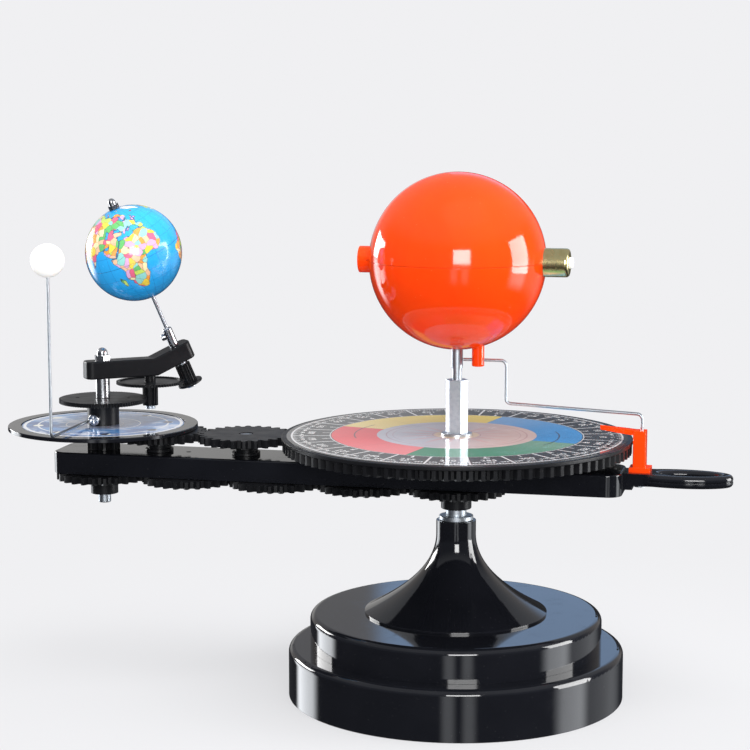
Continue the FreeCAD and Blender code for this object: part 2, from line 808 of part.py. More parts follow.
def make_arm():
    body, rounding = rounded_slab(
        "arm_block", P.arm_left, P.arm_right, P.arm_width, P.arm_height, P.arm_corner
    )
    top_edges = []
    for number, edge in enumerate(rounding.Shape.Edges, start=1):
        if edge.BoundBox.ZMin > P.arm_height.value - 0.01:
            top_edges.append(f"Edge{number}")
    dress(body, "PartDesign::Fillet", rounding, top_edges, P.arm_edge_radius)
    place(body, z=ARM_Z)
    wall = P.arm_wall
    cavity, _ = rounded_slab(
        "arm_cavity",
        P.arm_left - wall,
        P.arm_right - wall,
        P.arm_width - 2 * wall,
        P.arm_height - wall + 1,
        P.arm_corner - wall,
    )
    place(cavity, z=ARM_Z - 1)
    bosses = []
    bores = []
    grip = P.axle_grip
    bush_radius = P.bush_dia / 2
    column_radius = P.carrier_shaft_dia / 2
    boss_radius = P.boss_dia / 2
    boss_z = ARM_Z + P.floor_thickness
    boss_height = P.arm_height - P.floor_thickness - 1
    through = P.arm_height + 4
    bosses.append(cylinder("bush_boss", bush_radius + 3, boss_height, z=boss_z))
    bores.append(cylinder("bush_bore", bush_radius, through, z=ARM_Z - 2))
    bosses.append(cylinder("column_boss", boss_radius, boss_height, EARTH_X, ZERO, boss_z))
    bores.append(cylinder("column_bore", column_radius + FIT, through, EARTH_X, ZERO, ARM_Z - 2))
    for index, x in enumerate(lower_stations()):
        bosses.append(cylinder(f"lower_boss_{index}", boss_radius, boss_height, x, ZERO, boss_z))
        bores.append(cylinder(f"lower_bore_{index}", P.axle_dia / 2, grip, x, ZERO, boss_z - 1))
    for index, x in enumerate(upper_stations()):
        bosses.append(cylinder(f"upper_boss_{index}", boss_radius, boss_height, x, ZERO, boss_z))
        bores.append(cylinder(f"upper_bore_{index}", P.axle_dia / 2, grip + 1, x, ZERO, ARM_TOP - grip))
    oil_hole = cylinder("oil_hole", P.oil_hole_dia / 2, wall + 1.5, P.oil_hole_x, ZERO, ARM_TOP - wall - 0.5)
    bores.append(oil_hole)
    root_hole = P.handle_root_width / 2 + 0.1
    slot = block(
        "handle_slot",
        Size.of(12),
        root_hole * 2,
        P.handle_thickness + 0.2,
        P.arm_right - 8,
        -root_hole,
        ARM_TOP - P.handle_drop - P.handle_thickness - 0.1 - wall,
    )
    bores.append(slot)
    hollow = cut("arm_hollow", body, [cavity])
    filled = fuse("arm_with_bosses", [hollow] + bosses)
    publish(cut("arm_drilled", filled, bores), "arm_beam")

    floor, _ = rounded_slab(
        "floor_slab",
        P.arm_left - wall - 0.1,
        P.arm_right - wall - 0.1,
        P.arm_width - 2 * wall - 0.2,
        P.floor_thickness,
        P.arm_corner - wall,
    )
    place(floor, z=ARM_Z)
    through = P.floor_thickness + 2
    holes = [
        cylinder("floor_bush_hole", bush_radius + 0.1, through, z=ARM_Z - 1),
        cylinder("floor_column_hole", column_radius + 0.4, through, EARTH_X, ZERO, ARM_Z - 1),
    ]
    for index, x in enumerate(lower_stations()):
        holes.append(cylinder(f"floor_hole_{index}", P.axle_dia / 2, through, x, ZERO, ARM_Z - 1))
    publish(cut("floor_drilled", floor, holes), "arm_floor_plate")
    bush_length = P.arm_height + P.arm_gap - PLAY + 0.1
    ring("arm_bush", P.bush_dia / 2, P.spindle_dia / 2 + FIT, bush_length, z=ARM_Z - P.arm_gap + PLAY / 2)


def axle(name, x, head_z, length, upwards):
    """A headed pin along Z: the head's free face at head_z, the shank on its other side."""
    head = P.axle_head_height
    if upwards:
        head_solid = cylinder(name + "_head", P.axle_head_dia / 2, head, x, ZERO, head_z)
        shank = cylinder(name + "_shank", P.axle_dia / 2, length, x, ZERO, head_z + head)
    else:
        head_solid = cylinder(name + "_head", P.axle_head_dia / 2, head, x, ZERO, head_z - head)
        shank = cylinder(name + "_shank", P.axle_dia / 2, length, x, ZERO, head_z - head - length)
    slot = block(
        name + "_slot",
        P.axle_head_dia + 2,
        P.screw_slot,
        P.screw_slot * 1.6,
        x - P.axle_head_dia / 2 - 1,
        P.screw_slot / -2,
        head_z - P.screw_slot * 0.8,
    )
    return cut(name, fuse(name + "_blank", [head_solid, shank]), [slot])


def make_axles():
    lower = []
    grip = P.axle_grip
    for index, x in enumerate(lower_stations()):
        head_z = LOWER_GEAR_Z - PLAY - P.axle_head_height
        lower.append(axle(f"lower_axle_{index}", x, head_z, P.gear_thickness + P.arm_gap + PLAY + grip, True))
    publish(group("lower_axle_group", lower), "lower_gear_axles")
    upper = []
    gear_top = UPPER_GEAR_Z + P.upper_gear_thickness
    for index, x in enumerate(upper_stations()):
        head_z = gear_top - 0.5
        length = head_z - P.axle_head_height - ARM_TOP + grip - 1
        upper.append(axle(f"upper_axle_{index}", x, head_z, length, False))
    publish(group("upper_axle_group", upper), "upper_gear_axles")


def ellipse_prism(half_long, half_wide, height, centre_x, z):
    curve = Part.Ellipse(Vector(centre_x, 0, z), half_long, half_wide)
    return Part.Face(Part.Wire([curve.toShape()])).extrude(Vector(0, 0, height))


def make_handle():
    """An oval loop with a finger gap, a parting groove round its rim and a root that plugs into the arm."""
    thick = P.handle_thickness.value
    bottom = (ARM_TOP - P.handle_drop).value - thick
    start = P.arm_right.value
    finish = P.handle_end.value
    half_long = (finish - start - 4) / 2
    half_wide = P.handle_width.value / 2
    centre = finish - half_long
    oval = ellipse_prism(half_long, half_wide, thick, centre, bottom)
    root_length = P.handle_root.value
    root_width = P.handle_root_width.value
    root = Part.makeBox(root_length, root_width, thick, Vector(start, -root_width / 2, bottom))
    loop = oval.fuse(root).removeSplitter()
    gap_left = start + root_length
    gap_right = finish - P.handle_rim.value
    gap_half_wide = half_wide - P.handle_rim.value + 0.4
    gap_centre = (gap_left + gap_right) / 2
    gap = ellipse_prism((gap_right - gap_left) / 2, gap_half_wide, thick + 2, gap_centre, bottom - 1)
    loop = loop.cut(gap)
    rims = [edge for edge in flat_edges(loop) if edge.BoundBox.XMin > start + 0.5]
    loop = loop.makeFillet(P.handle_edge_radius.value, rims)
    groove_outer = ellipse_prism(half_long + 2, half_wide + 2, 0.9, centre, bottom + thick / 2 - 0.45)
    groove_inner = ellipse_prism(half_long - 0.7, half_wide - 0.7, 3, centre, bottom + thick / 2 - 1.5)
    groove = groove_outer.cut(groove_inner)
    keep_root = Part.makeBox(root_length, 60, 10, Vector(start - 6, -30, bottom + thick / 2 - 5))
    loop = loop.cut(groove.cut(keep_root))
    slot_z = (ARM_TOP - P.handle_drop - P.handle_thickness).value - P.arm_wall.value
    plug_width = root_width - 0.2
    tenon_length = 6.5
    step_height = thick + P.arm_wall.value
    tenon_corner = Vector(start - tenon_length, -plug_width / 2, slot_z)
    tenon = Part.makeBox(tenon_length, plug_width, thick, tenon_corner)
    step = Part.makeBox(6, plug_width, step_height, Vector(start, -plug_width / 2, slot_z))
    loop = loop.fuse(step).fuse(tenon).removeSplitter()
    screw = P.post_screw_dia.value / 2
    screw_bore = Part.makeCylinder(screw + 0.1, 20, Vector(P.post_x.value, 0, bottom - 5))
    loop = loop.cut(screw_bore)
    shaped("handle", loop)


def make_pointer():
    """The orange post on the handle's root: it points at the dial and holds the end of the link wire."""
    wide = P.post_wide.value
    deep = P.post_deep.value
    x = P.post_x.value
    seat = (ARM_TOP - P.handle_drop).value
    top = P.post_top.value
    post = Part.makeBox(wide, deep, top - seat, Vector(x - wide / 2, -deep / 2, seat))
    foot = Part.makeBox(wide + 5, deep + 4, 3, Vector(x - wide / 2 - 2, -deep / 2 - 2, seat))
    post = post.fuse(foot)
    tip = P.pointer_tip_x.value
    thick = P.pointer_thickness.value
    rise = 2.4
    corners = [
        Vector(x, 0, top),
        Vector(x, 0, top - thick),
        Vector(tip, 0, top + rise - thick * 0.8),
        Vector(tip, 0, top + rise),
    ]
    bar = Part.Face(Part.makePolygon(corners + corners[:1])).extrude(Vector(0, deep * 0.66, 0))
    bar.translate(Vector(0, -deep * 0.33, 0))
    taper = Part.Face(
        Part.makePolygon(
            [
                Vector(tip, -0.6, 0),
                Vector(x, -deep / 2, 0),
                Vector(x, deep / 2, 0),
                Vector(tip, 0.6, 0),
                Vector(tip, -0.6, 0),
            ]
        )
    ).extrude(Vector(0, 0, 400))
    bar = bar.common(taper)
    post = post.fuse(bar).removeSplitter()
    upright_edges = [
        edge
        for edge in post.Edges
        if edge.BoundBox.ZLength > 15 and edge.BoundBox.XLength < 0.01 and edge.BoundBox.YLength < 0.01
    ]
    post = post.makeFillet(0.8, upright_edges)
    wire_socket = Part.makeCylinder(P.wire_dia.value / 2, 8.2, Vector(x + 1, 0, top - 8))
    screw = P.post_screw_dia.value / 2
    screw_thread = Part.makeCylinder(screw, 9, Vector(x, 0, seat))
    post = post.cut(wire_socket).cut(screw_thread)
    shaped("pointer_post", post)
    head_z = seat - P.handle_thickness.value
    head = Part.makeCylinder(screw * 2.1, 2, Vector(x, 0, head_z - 2))
    shank = Part.makeCylinder(screw, P.handle_thickness.value + 8, Vector(x, 0, head_z))
    slot = Part.makeBox(8, 0.9, 0.9, Vector(x - 4, -0.45, head_z - 2.1))
    shaped("pointer_screw", head.fuse(shank).cut(slot).removeSplitter())


def wire_solid(points, radius, bend):
    """A round wire along straight runs with tangent arcs at the corners."""
    edges = []
    start = points[0]
    for before, corner, after in zip(points, points[1:], points[2:]):
        arriving = (corner - before).normalize()
        leaving = (after - corner).normalize()
        turn = arriving.getAngle(leaving)
        reach = bend * math.tan(turn / 2)
        arc_start = corner - arriving * reach
        arc_end = corner + leaving * reach
        bisector = (leaving - arriving).normalize()
        centre = corner + bisector * (bend / math.cos(turn / 2))
        middle = centre - bisector * bend
        edges.append(Part.LineSegment(start, arc_start).toShape())
        edges.append(Part.Arc(arc_start, middle, arc_end).toShape())
        start = arc_end
    edges.append(Part.LineSegment(start, points[-1]).toShape())
    path = Part.Wire(edges)
    heading = (points[1] - points[0]).normalize()
    ring_wire = Part.Wire([Part.makeCircle(radius, points[0], heading)])
    return path.makePipeShell([ring_wire], True, False, 1)


def make_link_wire():
    """The bent wire that turns the Sun with the arm."""
    sleeve = P.sleeve_dia.value / 2
    post_x = P.post_x.value + 1
    points = [
        Vector(sleeve + 0.4, 0, P.wire_high.value),
        Vector(P.wire_drop_x.value, 0, P.wire_high.value),
        Vector(P.wire_drop_x.value, 0, P.wire_low_in.value),
        Vector(post_x, 0, P.wire_low_out.value),
        Vector(post_x, 0, P.post_top.value - 7.8),
    ]
    shaped("sun_link_wire", wire_solid(points, P.wire_dia.value / 2, P.wire_bend.value))


# ---------------------------------------------------------------------------------------------------
# Sun
# ---------------------------------------------------------------------------------------------------
def tube_along_x(radius, bore, start, finish, z):
    outer = Part.makeCylinder(radius, finish - start, Vector(start, 0, z), Vector(1, 0, 0))
    if bore <= 0:
        return outer
    return outer.cut(Part.makeCylinder(bore, finish - start + 2, Vector(start - 1, 0, z), Vector(1, 0, 0)))


def make_sun():
    """Two hemispheres that clip round a torch; the outlet faces the Earth."""
    radius = P.sun_dia.value / 2
    wall = P.sun_wall.value
    centre = Vector(0, 0, P.sun_height.value)
    z = P.sun_height.value
    shell = Part.makeSphere(radius, centre).cut(Part.makeSphere(radius - wall, centre))
    outlet = tube_along_x(P.outlet_dia.value / 2, 0, -P.outlet_reach.value, -radius + 8, z)
    outlet_room = tube_along_x(P.outlet_bore.value / 2, 0, -P.outlet_reach.value - 1, -radius + 9, z)
    torch_room = tube_along_x(P.torch_dia.value / 2 + 0.05, 0, 20, radius + 5, z)
    shell = shell.fuse(outlet).cut(outlet_room).cut(torch_room)
    half_box = Part.makeBox(300, 300, 150, Vector(-150, -150, z))
    seam = P.seam_width.value
    groove = disc_shape(radius + 2, seam, z - seam / 2)
    groove = groove.cut(disc_shape(radius - P.seam_depth.value, seam, z - seam / 2))
    shell = shell.cut(groove)
    upper = shell.common(half_box)
    lower = shell.cut(half_box)
    sleeve = P.sleeve_dia.value / 2
    boss_bottom = z - radius + 0.6
    boss = Part.makeCylinder(sleeve + 3, 14, Vector(0, 0, boss_bottom))
    peg_x = P.peg_offset.value
    peg_top = z - radius + 5
    peg_z = P.peg_bottom.value
    peg = Part.makeCylinder(P.peg_dia.value / 2, peg_top - peg_z, Vector(peg_x, 0, peg_z))
    peg = peg.makeFillet(0.8, [edge for edge in peg.Edges if edge.BoundBox.ZMax < peg_z + 0.01])
    inner_ball = Part.makeSphere(radius - wall + 0.01, centre)
    lower = lower.fuse(boss).fuse(peg.cut(inner_ball))
    lower = lower.cut(Part.makeCylinder(sleeve, 60, Vector(0, 0, z - radius - 20)))
    wire_hole = P.wire_dia.value / 2 + 0.05
    lower = lower.cut(Part.makeCylinder(wire_hole, 40, Vector(1, 0, P.wire_high.value), Vector(1, 0, 0)))
    shaped("sun_upper_shell", upper.removeSplitter())
    shaped("sun_lower_shell", lower.removeSplitter())
    ring("sun_sleeve", P.sleeve_dia / 2, P.post_dia / 2 + FIT, P.sleeve_length, z=P.sleeve_bottom)


def make_torch():
    """A penlight lying in the Sun: brass tube, lens at the outlet, push-button at the tail."""
    z = P.sun_height.value
    reach = P.torch_reach.value
    nose = -P.torch_inner.value
    radius = P.torch_dia.value / 2
    tube = tube_along_x(radius, 0, nose, reach, z)
    tail_rim = [edge for edge in tube.Edges if edge.BoundBox.XMin > reach - 0.01]
    tube = tube.makeFillet(2.2, tail_rim)
    bore = radius - P.torch_wall.value
    tail_thickness = P.torch_tail_wall.value
    tube = tube.cut(tube_along_x(bore, 0, nose - 1, reach - tail_thickness, z))
    button = P.button_dia.value / 2
    tube = tube.cut(tube_along_x(button + FIT.value, 0, reach - tail_thickness - 1, reach + 1, z))
    shaped("torch_tube", tube)

    shaped("torch_lens", tube_along_x(bore, 0, nose + 1, nose + 3, z))
    lamp = P.lamp_dia.value / 2
    lamp_x = nose + 4 + lamp
    lamp_end = lamp_x + 2.5
    start = lamp_end + 5
    lamp_base = tube_along_x(bore, 0, lamp_end, start, z)
    lamp_body = tube_along_x(lamp, 0, lamp_x, lamp_end, z)
    lamp_dome = Part.makeSphere(lamp, Vector(lamp_x, 0, z))
    shaped("torch_lamp", lamp_base.fuse(lamp_body).fuse(lamp_dome).removeSplitter())
    cells = []
    cell_length = P.cell_length.value
    tip_length = 1.2
    for index in range(2):
        left = start + index * cell_length
        shoulder = left + cell_length - tip_length
        cell = tube_along_x(P.cell_dia.value / 2, 0, left, shoulder, z)
        tip = tube_along_x(2, 0, shoulder, shoulder + tip_length, z)
        cells.append(cell.fuse(tip).removeSplitter())
    shaped("torch_batteries", Part.makeCompound(cells))
    inside = reach - tail_thickness
    tail = inside - 2.6
    crown = reach + P.button_proud.value
    flange = tube_along_x(button + 1.4, 0, tail, inside - 0.05, z)
    stem = tube_along_x(button, 0, tail, crown, z)
    stem_rim = [edge for edge in stem.Edges if edge.BoundBox.XMin > crown - 0.01]
    stem = stem.makeFillet(1.6, stem_rim)
    shaped("torch_button", stem.fuse(flange).removeSplitter())


# ---------------------------------------------------------------------------------------------------
# Idlers
# ---------------------------------------------------------------------------------------------------
def make_idlers():
    bore = (P.axle_dia / 2 + FIT).value
    for index, x in enumerate(lower_stations(), start=1):
        gear = coarse_gear(IDLER_TEETH, P.gear_thickness, LOWER_PHASES[index])
        shaped(f"lower_gear_{index}", gear.cut(disc_shape(bore, 20, -5)), upright(x=x, z=LOWER_GEAR_Z))
    recess = P.axle_head_height.value + 0.7
    recess_radius = P.axle_head_dia.value / 2 + 0.4
    for name, x, phase in (("a", UPPER_A_X, UPPER_A_PHASE), ("b", UPPER_B_X, UPPER_B_PHASE)):
        gear = coarse_gear(IDLER_TEETH, P.upper_gear_thickness, phase)
        drop = P.upper_gear_rise.value - PLAY.value
        barrel = disc_shape(P.idler_hub_dia.value / 2 - 1.5, drop, -drop)
        flange = disc_shape(P.idler_hub_dia.value / 2, 1.8, -drop)
        gear = gear.fuse(barrel).fuse(flange)
        gear = gear.cut(disc_shape(bore, 60, -30))
        gear = gear.cut(disc_shape(recess_radius, 10, P.upper_gear_thickness.value - recess))
        shaped(f"upper_gear_{name}", gear.removeSplitter(), upright(x=x, z=UPPER_GEAR_Z))


# ---------------------------------------------------------------------------------------------------
# Moon carrier
# ---------------------------------------------------------------------------------------------------
def make_moon_carrier():
    sleeve = P.moon_sleeve_dia / 2
    bore = (P.carrier_shaft_dia / 2 + FIT).value
    teeth_height = MOON_DISC_Z - ARM_TOP - PLAY
    pinion = coarse_gear(MOON_TEETH, teeth_height, MOON_PHASE)
    tube_height = DRIVE_TOP - MOON_DISC_Z
    tube = disc_shape(sleeve.value, tube_height.value + 1, teeth_height.value - 1)
    pinion = pinion.fuse(tube).cut(disc_shape(bore, 80, -5))
    shaped("moon_pinion", pinion.removeSplitter(), upright(x=EARTH_X, z=ARM_TOP + PLAY))

    disc = P.moon_disc_dia / 2
    thick = P.moon_disc_thickness
    rim = P.moon_sheet_dia / 2 + 0.8
    turned(
        "moon_disc",
        [
            (sleeve, ZERO),
            (disc, ZERO),
            (disc, thick + P.moon_rim_height),
            (rim, thick + P.moon_rim_height),
            (rim, thick),
            (sleeve, thick),
        ],
        x=EARTH_X,
        z=MOON_DISC_Z,
        rounded=(2,),
        radius=P.moon_disc_thickness / 4,
    )
    ring("moon_disc_sheet", P.moon_sheet_dia / 2, sleeve, P.sheet_thickness, x=EARTH_X, z=MOON_TOP)

    hub = disc_shape(P.moon_hub_dia.value / 2, P.moon_hub_height.value)
    hub = hub.cut(disc_shape(sleeve.value, 40, -5))
    offset = P.moon_wire_offset.value
    rise = P.moon_wire_rise.value - P.sheet_thickness.value
    wire_radius = P.moon_wire_dia.value / 2
    hub = hub.cut(Part.makeCylinder(wire_radius, 40, Vector(-offset, 8, rise), Vector(0, -1, 0)))
    heading = math.radians(P.hub_screw_heading.value)
    outward = Vector(math.cos(heading), math.sin(heading), 0)
    height = Vector(0, 0, P.hub_screw_rise.value)
    thread = P.hub_screw_thread.value / 2
    head_length = P.hub_screw_head.value
    shank_in = sleeve.value + 0.1
    shank_out = P.moon_hub_dia.value / 2 - 0.7
    hub = hub.cut(Part.makeCylinder(thread, 12, outward * shank_in + height, outward))
    flat_start = outward * shank_out + height
    hub = hub.cut(Part.makeCylinder(P.hub_screw_dia.value / 2 + 0.3, 6, flat_start, outward))
    shaped("moon_hub", hub, upright(x=EARTH_X, z=HUB_Z))
    head = Part.makeCylinder(P.hub_screw_dia.value / 2, head_length, flat_start, outward)
    outer_rim = [edge for edge in head.Edges if edge.CenterOfMass.dot(outward) > shank_out + head_length / 2]
    head = head.makeFillet(0.9, outer_rim[:1])
    shank = Part.makeCylinder(thread, shank_out - shank_in, outward * shank_in + height, outward)
    screw = head.fuse(shank)
    for turn in (0, 90):
        cross = Part.makeBox(4.4, 0.9, 3, Vector(-2.2, -0.45, 0))
        cross.rotate(Vector(0, 0, 0), Vector(0, 0, 1), turn)
        seat = Placement(flat_start + outward * (head_length - 1), Rotation(Vector(0, 0, 1), outward))
        cross.Placement = seat.multiply(cross.Placement)
        screw = screw.cut(cross)
    shaped("moon_hub_screw", screw.removeSplitter(), upright(x=EARTH_X, z=HUB_Z))

    drive = fine_gear(DRIVE_TEETH, P.drive_gear_thickness, DRIVE_PHASE)
    drive = drive.cut(disc_shape(sleeve.value, 20, -5))
    for side in (0, 1):
        pin_hole = disc_shape(P.drive_pin_hole.value / 2, 20, -5)
        pin_hole.translate(polar(P.drive_pin_circle.value / 2, math.radians(8.6 + 180 * side)))
        drive = drive.cut(pin_hole)
    shaped("earth_drive_gear", drive, upright(x=EARTH_X, z=DRIVE_Z))

    wire_z = (MOON_TOP + P.moon_wire_rise).value
    wire_x = EARTH_X.value - offset
    reach = P.moon_wire_reach.value
    ball_z = P.moon_height.value
    moon_radius = P.moon_dia.value / 2
    points = [
        Vector(wire_x, 6, wire_z),
        Vector(wire_x, -reach, wire_z),
        Vector(wire_x, -reach, ball_z - moon_radius + 6),
    ]
    shaped("moon_wire", wire_solid(points, wire_radius, 3))
    moon_centre = Vector(wire_x, -reach, ball_z)
    moon = Part.makeSphere(moon_radius, moon_centre)
    socket = Part.makeCylinder(wire_radius, 6.01, Vector(wire_x, -reach, ball_z - moon_radius - 0.01))
    shaped("moon_ball", moon.cut(socket))


# ---------------------------------------------------------------------------------------------------
# Earth carrier: keeps its heading in space while the arm turns
# ---------------------------------------------------------------------------------------------------
def make_earth_carrier():
    shaft = P.carrier_shaft_dia / 2
    collar_height = P.carrier_collar_height.value
    gear = coarse_gear(IDLER_TEETH, P.gear_thickness, LOWER_PHASES[4])
    gear.translate(Vector(0, 0, collar_height))
    collar = disc_shape(P.carrier_collar_dia.value / 2, collar_height)
    gear = gear.fuse(collar).cut(disc_shape(shaft.value, 60, -10)).removeSplitter()
    shaped("parallel_gear", gear, upright(x=EARTH_X, z=LOWER_GEAR_Z - P.carrier_collar_height))
    head_z = LOWER_GEAR_Z - P.carrier_collar_height - P.carrier_head_height
    head_height = P.carrier_head_height
    shaft_top = BRACKET_TOP + 4.5 - head_z
    turned(
        "earth_column_shaft",
        [
            (ZERO, ZERO),
            (P.carrier_head_dia / 2, ZERO),
            (P.carrier_head_dia / 2, head_height),
            (shaft, head_height),
            (shaft, shaft_top),
            (ZERO, shaft_top),
        ],
        x=EARTH_X,
        z=head_z,
        rounded=(1,),
        radius=head_height / 10,
    )
    ring("column_spacer", P.spacer_dia / 2, shaft, P.spacer_height, x=EARTH_X, z=SPACER_Z)
    make_bracket()
    nut = acorn_shape(P.acorn_flats.value, P.acorn_height.value, shaft.value, 4.6)
    shaped("acorn_nut", nut, upright(x=EARTH_X, z=BRACKET_TOP))


def make_bracket():
    """A bent bar: level over the column, then square to the Earth's axis, with a boss for a gear below."""
    thick = P.bracket_thickness.value
    width = P.bracket_width.value
    low = BRACKET_Z.value
    high = BRACKET_TOP.value
    tail = -P.bracket_tail.value
    # the sloping part ends beyond the Earth's axis by the bracket's nose
    run = (AXIS_POINT - BEND_LOW).dot(SLOPE) + P.bracket_nose.value
    end_low = BEND_LOW + SLOPE * run
    end_high = end_low + LIFT * thick
    bend_high = Vector(P.bracket_bend.value - thick * math.tan(TILT / 2), 0, high)
    corners = [Vector(tail, 0, low), BEND_LOW, end_low, end_high, bend_high, Vector(tail, 0, high)]
    bar = Part.Face(Part.makePolygon(corners + corners[:1])).extrude(Vector(0, width, 0))
    bar.translate(Vector(0, -width / 2, 0))
    across = [edge for edge in bar.Edges if edge.BoundBox.YLength > width - 0.01]
    at_bend = [edge for edge in across if abs(edge.CenterOfMass.x - P.bracket_bend.value) < 3]
    bar = bar.makeFillet(4, at_bend)
    end_middle = (end_low + end_high) / 2
    ends = [
        edge
        for edge in sharp_edges(bar)
        if abs(edge.Length - thick) < 0.01
        and min(abs(edge.CenterOfMass.x - tail), abs(edge.CenterOfMass.x - end_middle.x)) < 0.01
    ]
    bar = bar.makeFillet(P.bracket_end_radius.value, ends)
    bar = bar.makeFillet(P.bracket_edge_radius.value, sharp_edges(bar))
    reach = TRANSFER_REACH.value
    collar = P.transfer_collar_height.value
    boss = Part.makeCylinder(P.transfer_collar_dia.value / 2, collar + 3, Vector(reach, 0, low - collar))
    bar = bar.fuse(boss)
    shaft = P.carrier_shaft_dia.value / 2
    bar = bar.cut(Part.makeCylinder(shaft, 40, Vector(0, 0, low - 10)))
    pin = P.transfer_axle_dia.value / 2
    bar = bar.cut(Part.makeCylinder(pin, collar + 8, Vector(reach, 0, low - collar - 1)))
    bush = P.spin_shaft_dia.value / 2 + 1.4
    bar = bar.cut(Part.makeCylinder(bush, 60, AXIS_POINT - LIFT * 5, LIFT))
    placement = Placement(Vector(EARTH_X.value, 0, 0), Rotation(Vector(0, 0, 1), math.degrees(HEADING)))
    shaped("earth_bracket", bar.removeSplitter(), placement)
    # the bush fills the sloping part and stands out below it, down to the Earth's pinion
    start = BRACKET_UNDER - P.spin_pinion_gap.value + PLAY.value
    length = BRACKET_UNDER + thick - start
    tube = disc_shape(bush, length, start)
    tube = tube.cut(disc_shape((P.spin_shaft_dia / 2 + FIT).value, length + 2, start - 1))
    shaped("bracket_bush", tube, SPIN_PLACEMENT)


def make_transfer():
    """The stepped gear that takes the drive from the Moon carrier's gear to the Earth's pinion."""
    pin = P.transfer_axle_dia / 2
    head = P.transfer_collar_dia / 2 - 0.4
    pinion_height = P.transfer_pinion_height.value
    crown_top = pinion_height + P.crown_thickness.value
    pinion = fine_gear(TRANSFER_TEETH, P.transfer_pinion_height, TRANSFER_PHASE)
    crown = fine_gear(CROWN_TEETH, P.crown_thickness, CROWN_PHASE)
    crown.translate(Vector(0, 0, pinion_height))
    dish = disc_shape(CROWN_RADIUS - 2, 5, crown_top - P.crown_dish.value)
    dish = dish.cut(disc_shape(P.transfer_collar_dia.value / 2, 6, crown_top - 1))
    hub = disc_shape(5.6, 1.6, pinion_height - 1.6)
    bore = disc_shape((pin + FIT).value, 60, -10)
    gear = pinion.fuse(crown).fuse(hub).cut(dish).cut(bore).removeSplitter()
    base_z = CROWN_Z - P.transfer_pinion_height
    spot = along_heading(TRANSFER_REACH.value, 0)
    shaped("transfer_gear", gear, upright(x=spot.x, y=spot.y, z=base_z))

    head_height = Size.of(2)
    head_z = base_z - PLAY - head_height
    pin_top = BRACKET_Z + 6.8 - head_z
    turned(
        "transfer_axle",
        [
            (ZERO, ZERO),
            (head, ZERO),
            (head, head_height),
            (pin, head_height),
            (pin, pin_top),
            (ZERO, pin_top),
        ],
        x=Size.of(spot.x),
        y=Size.of(spot.y),
        z=head_z,
    )


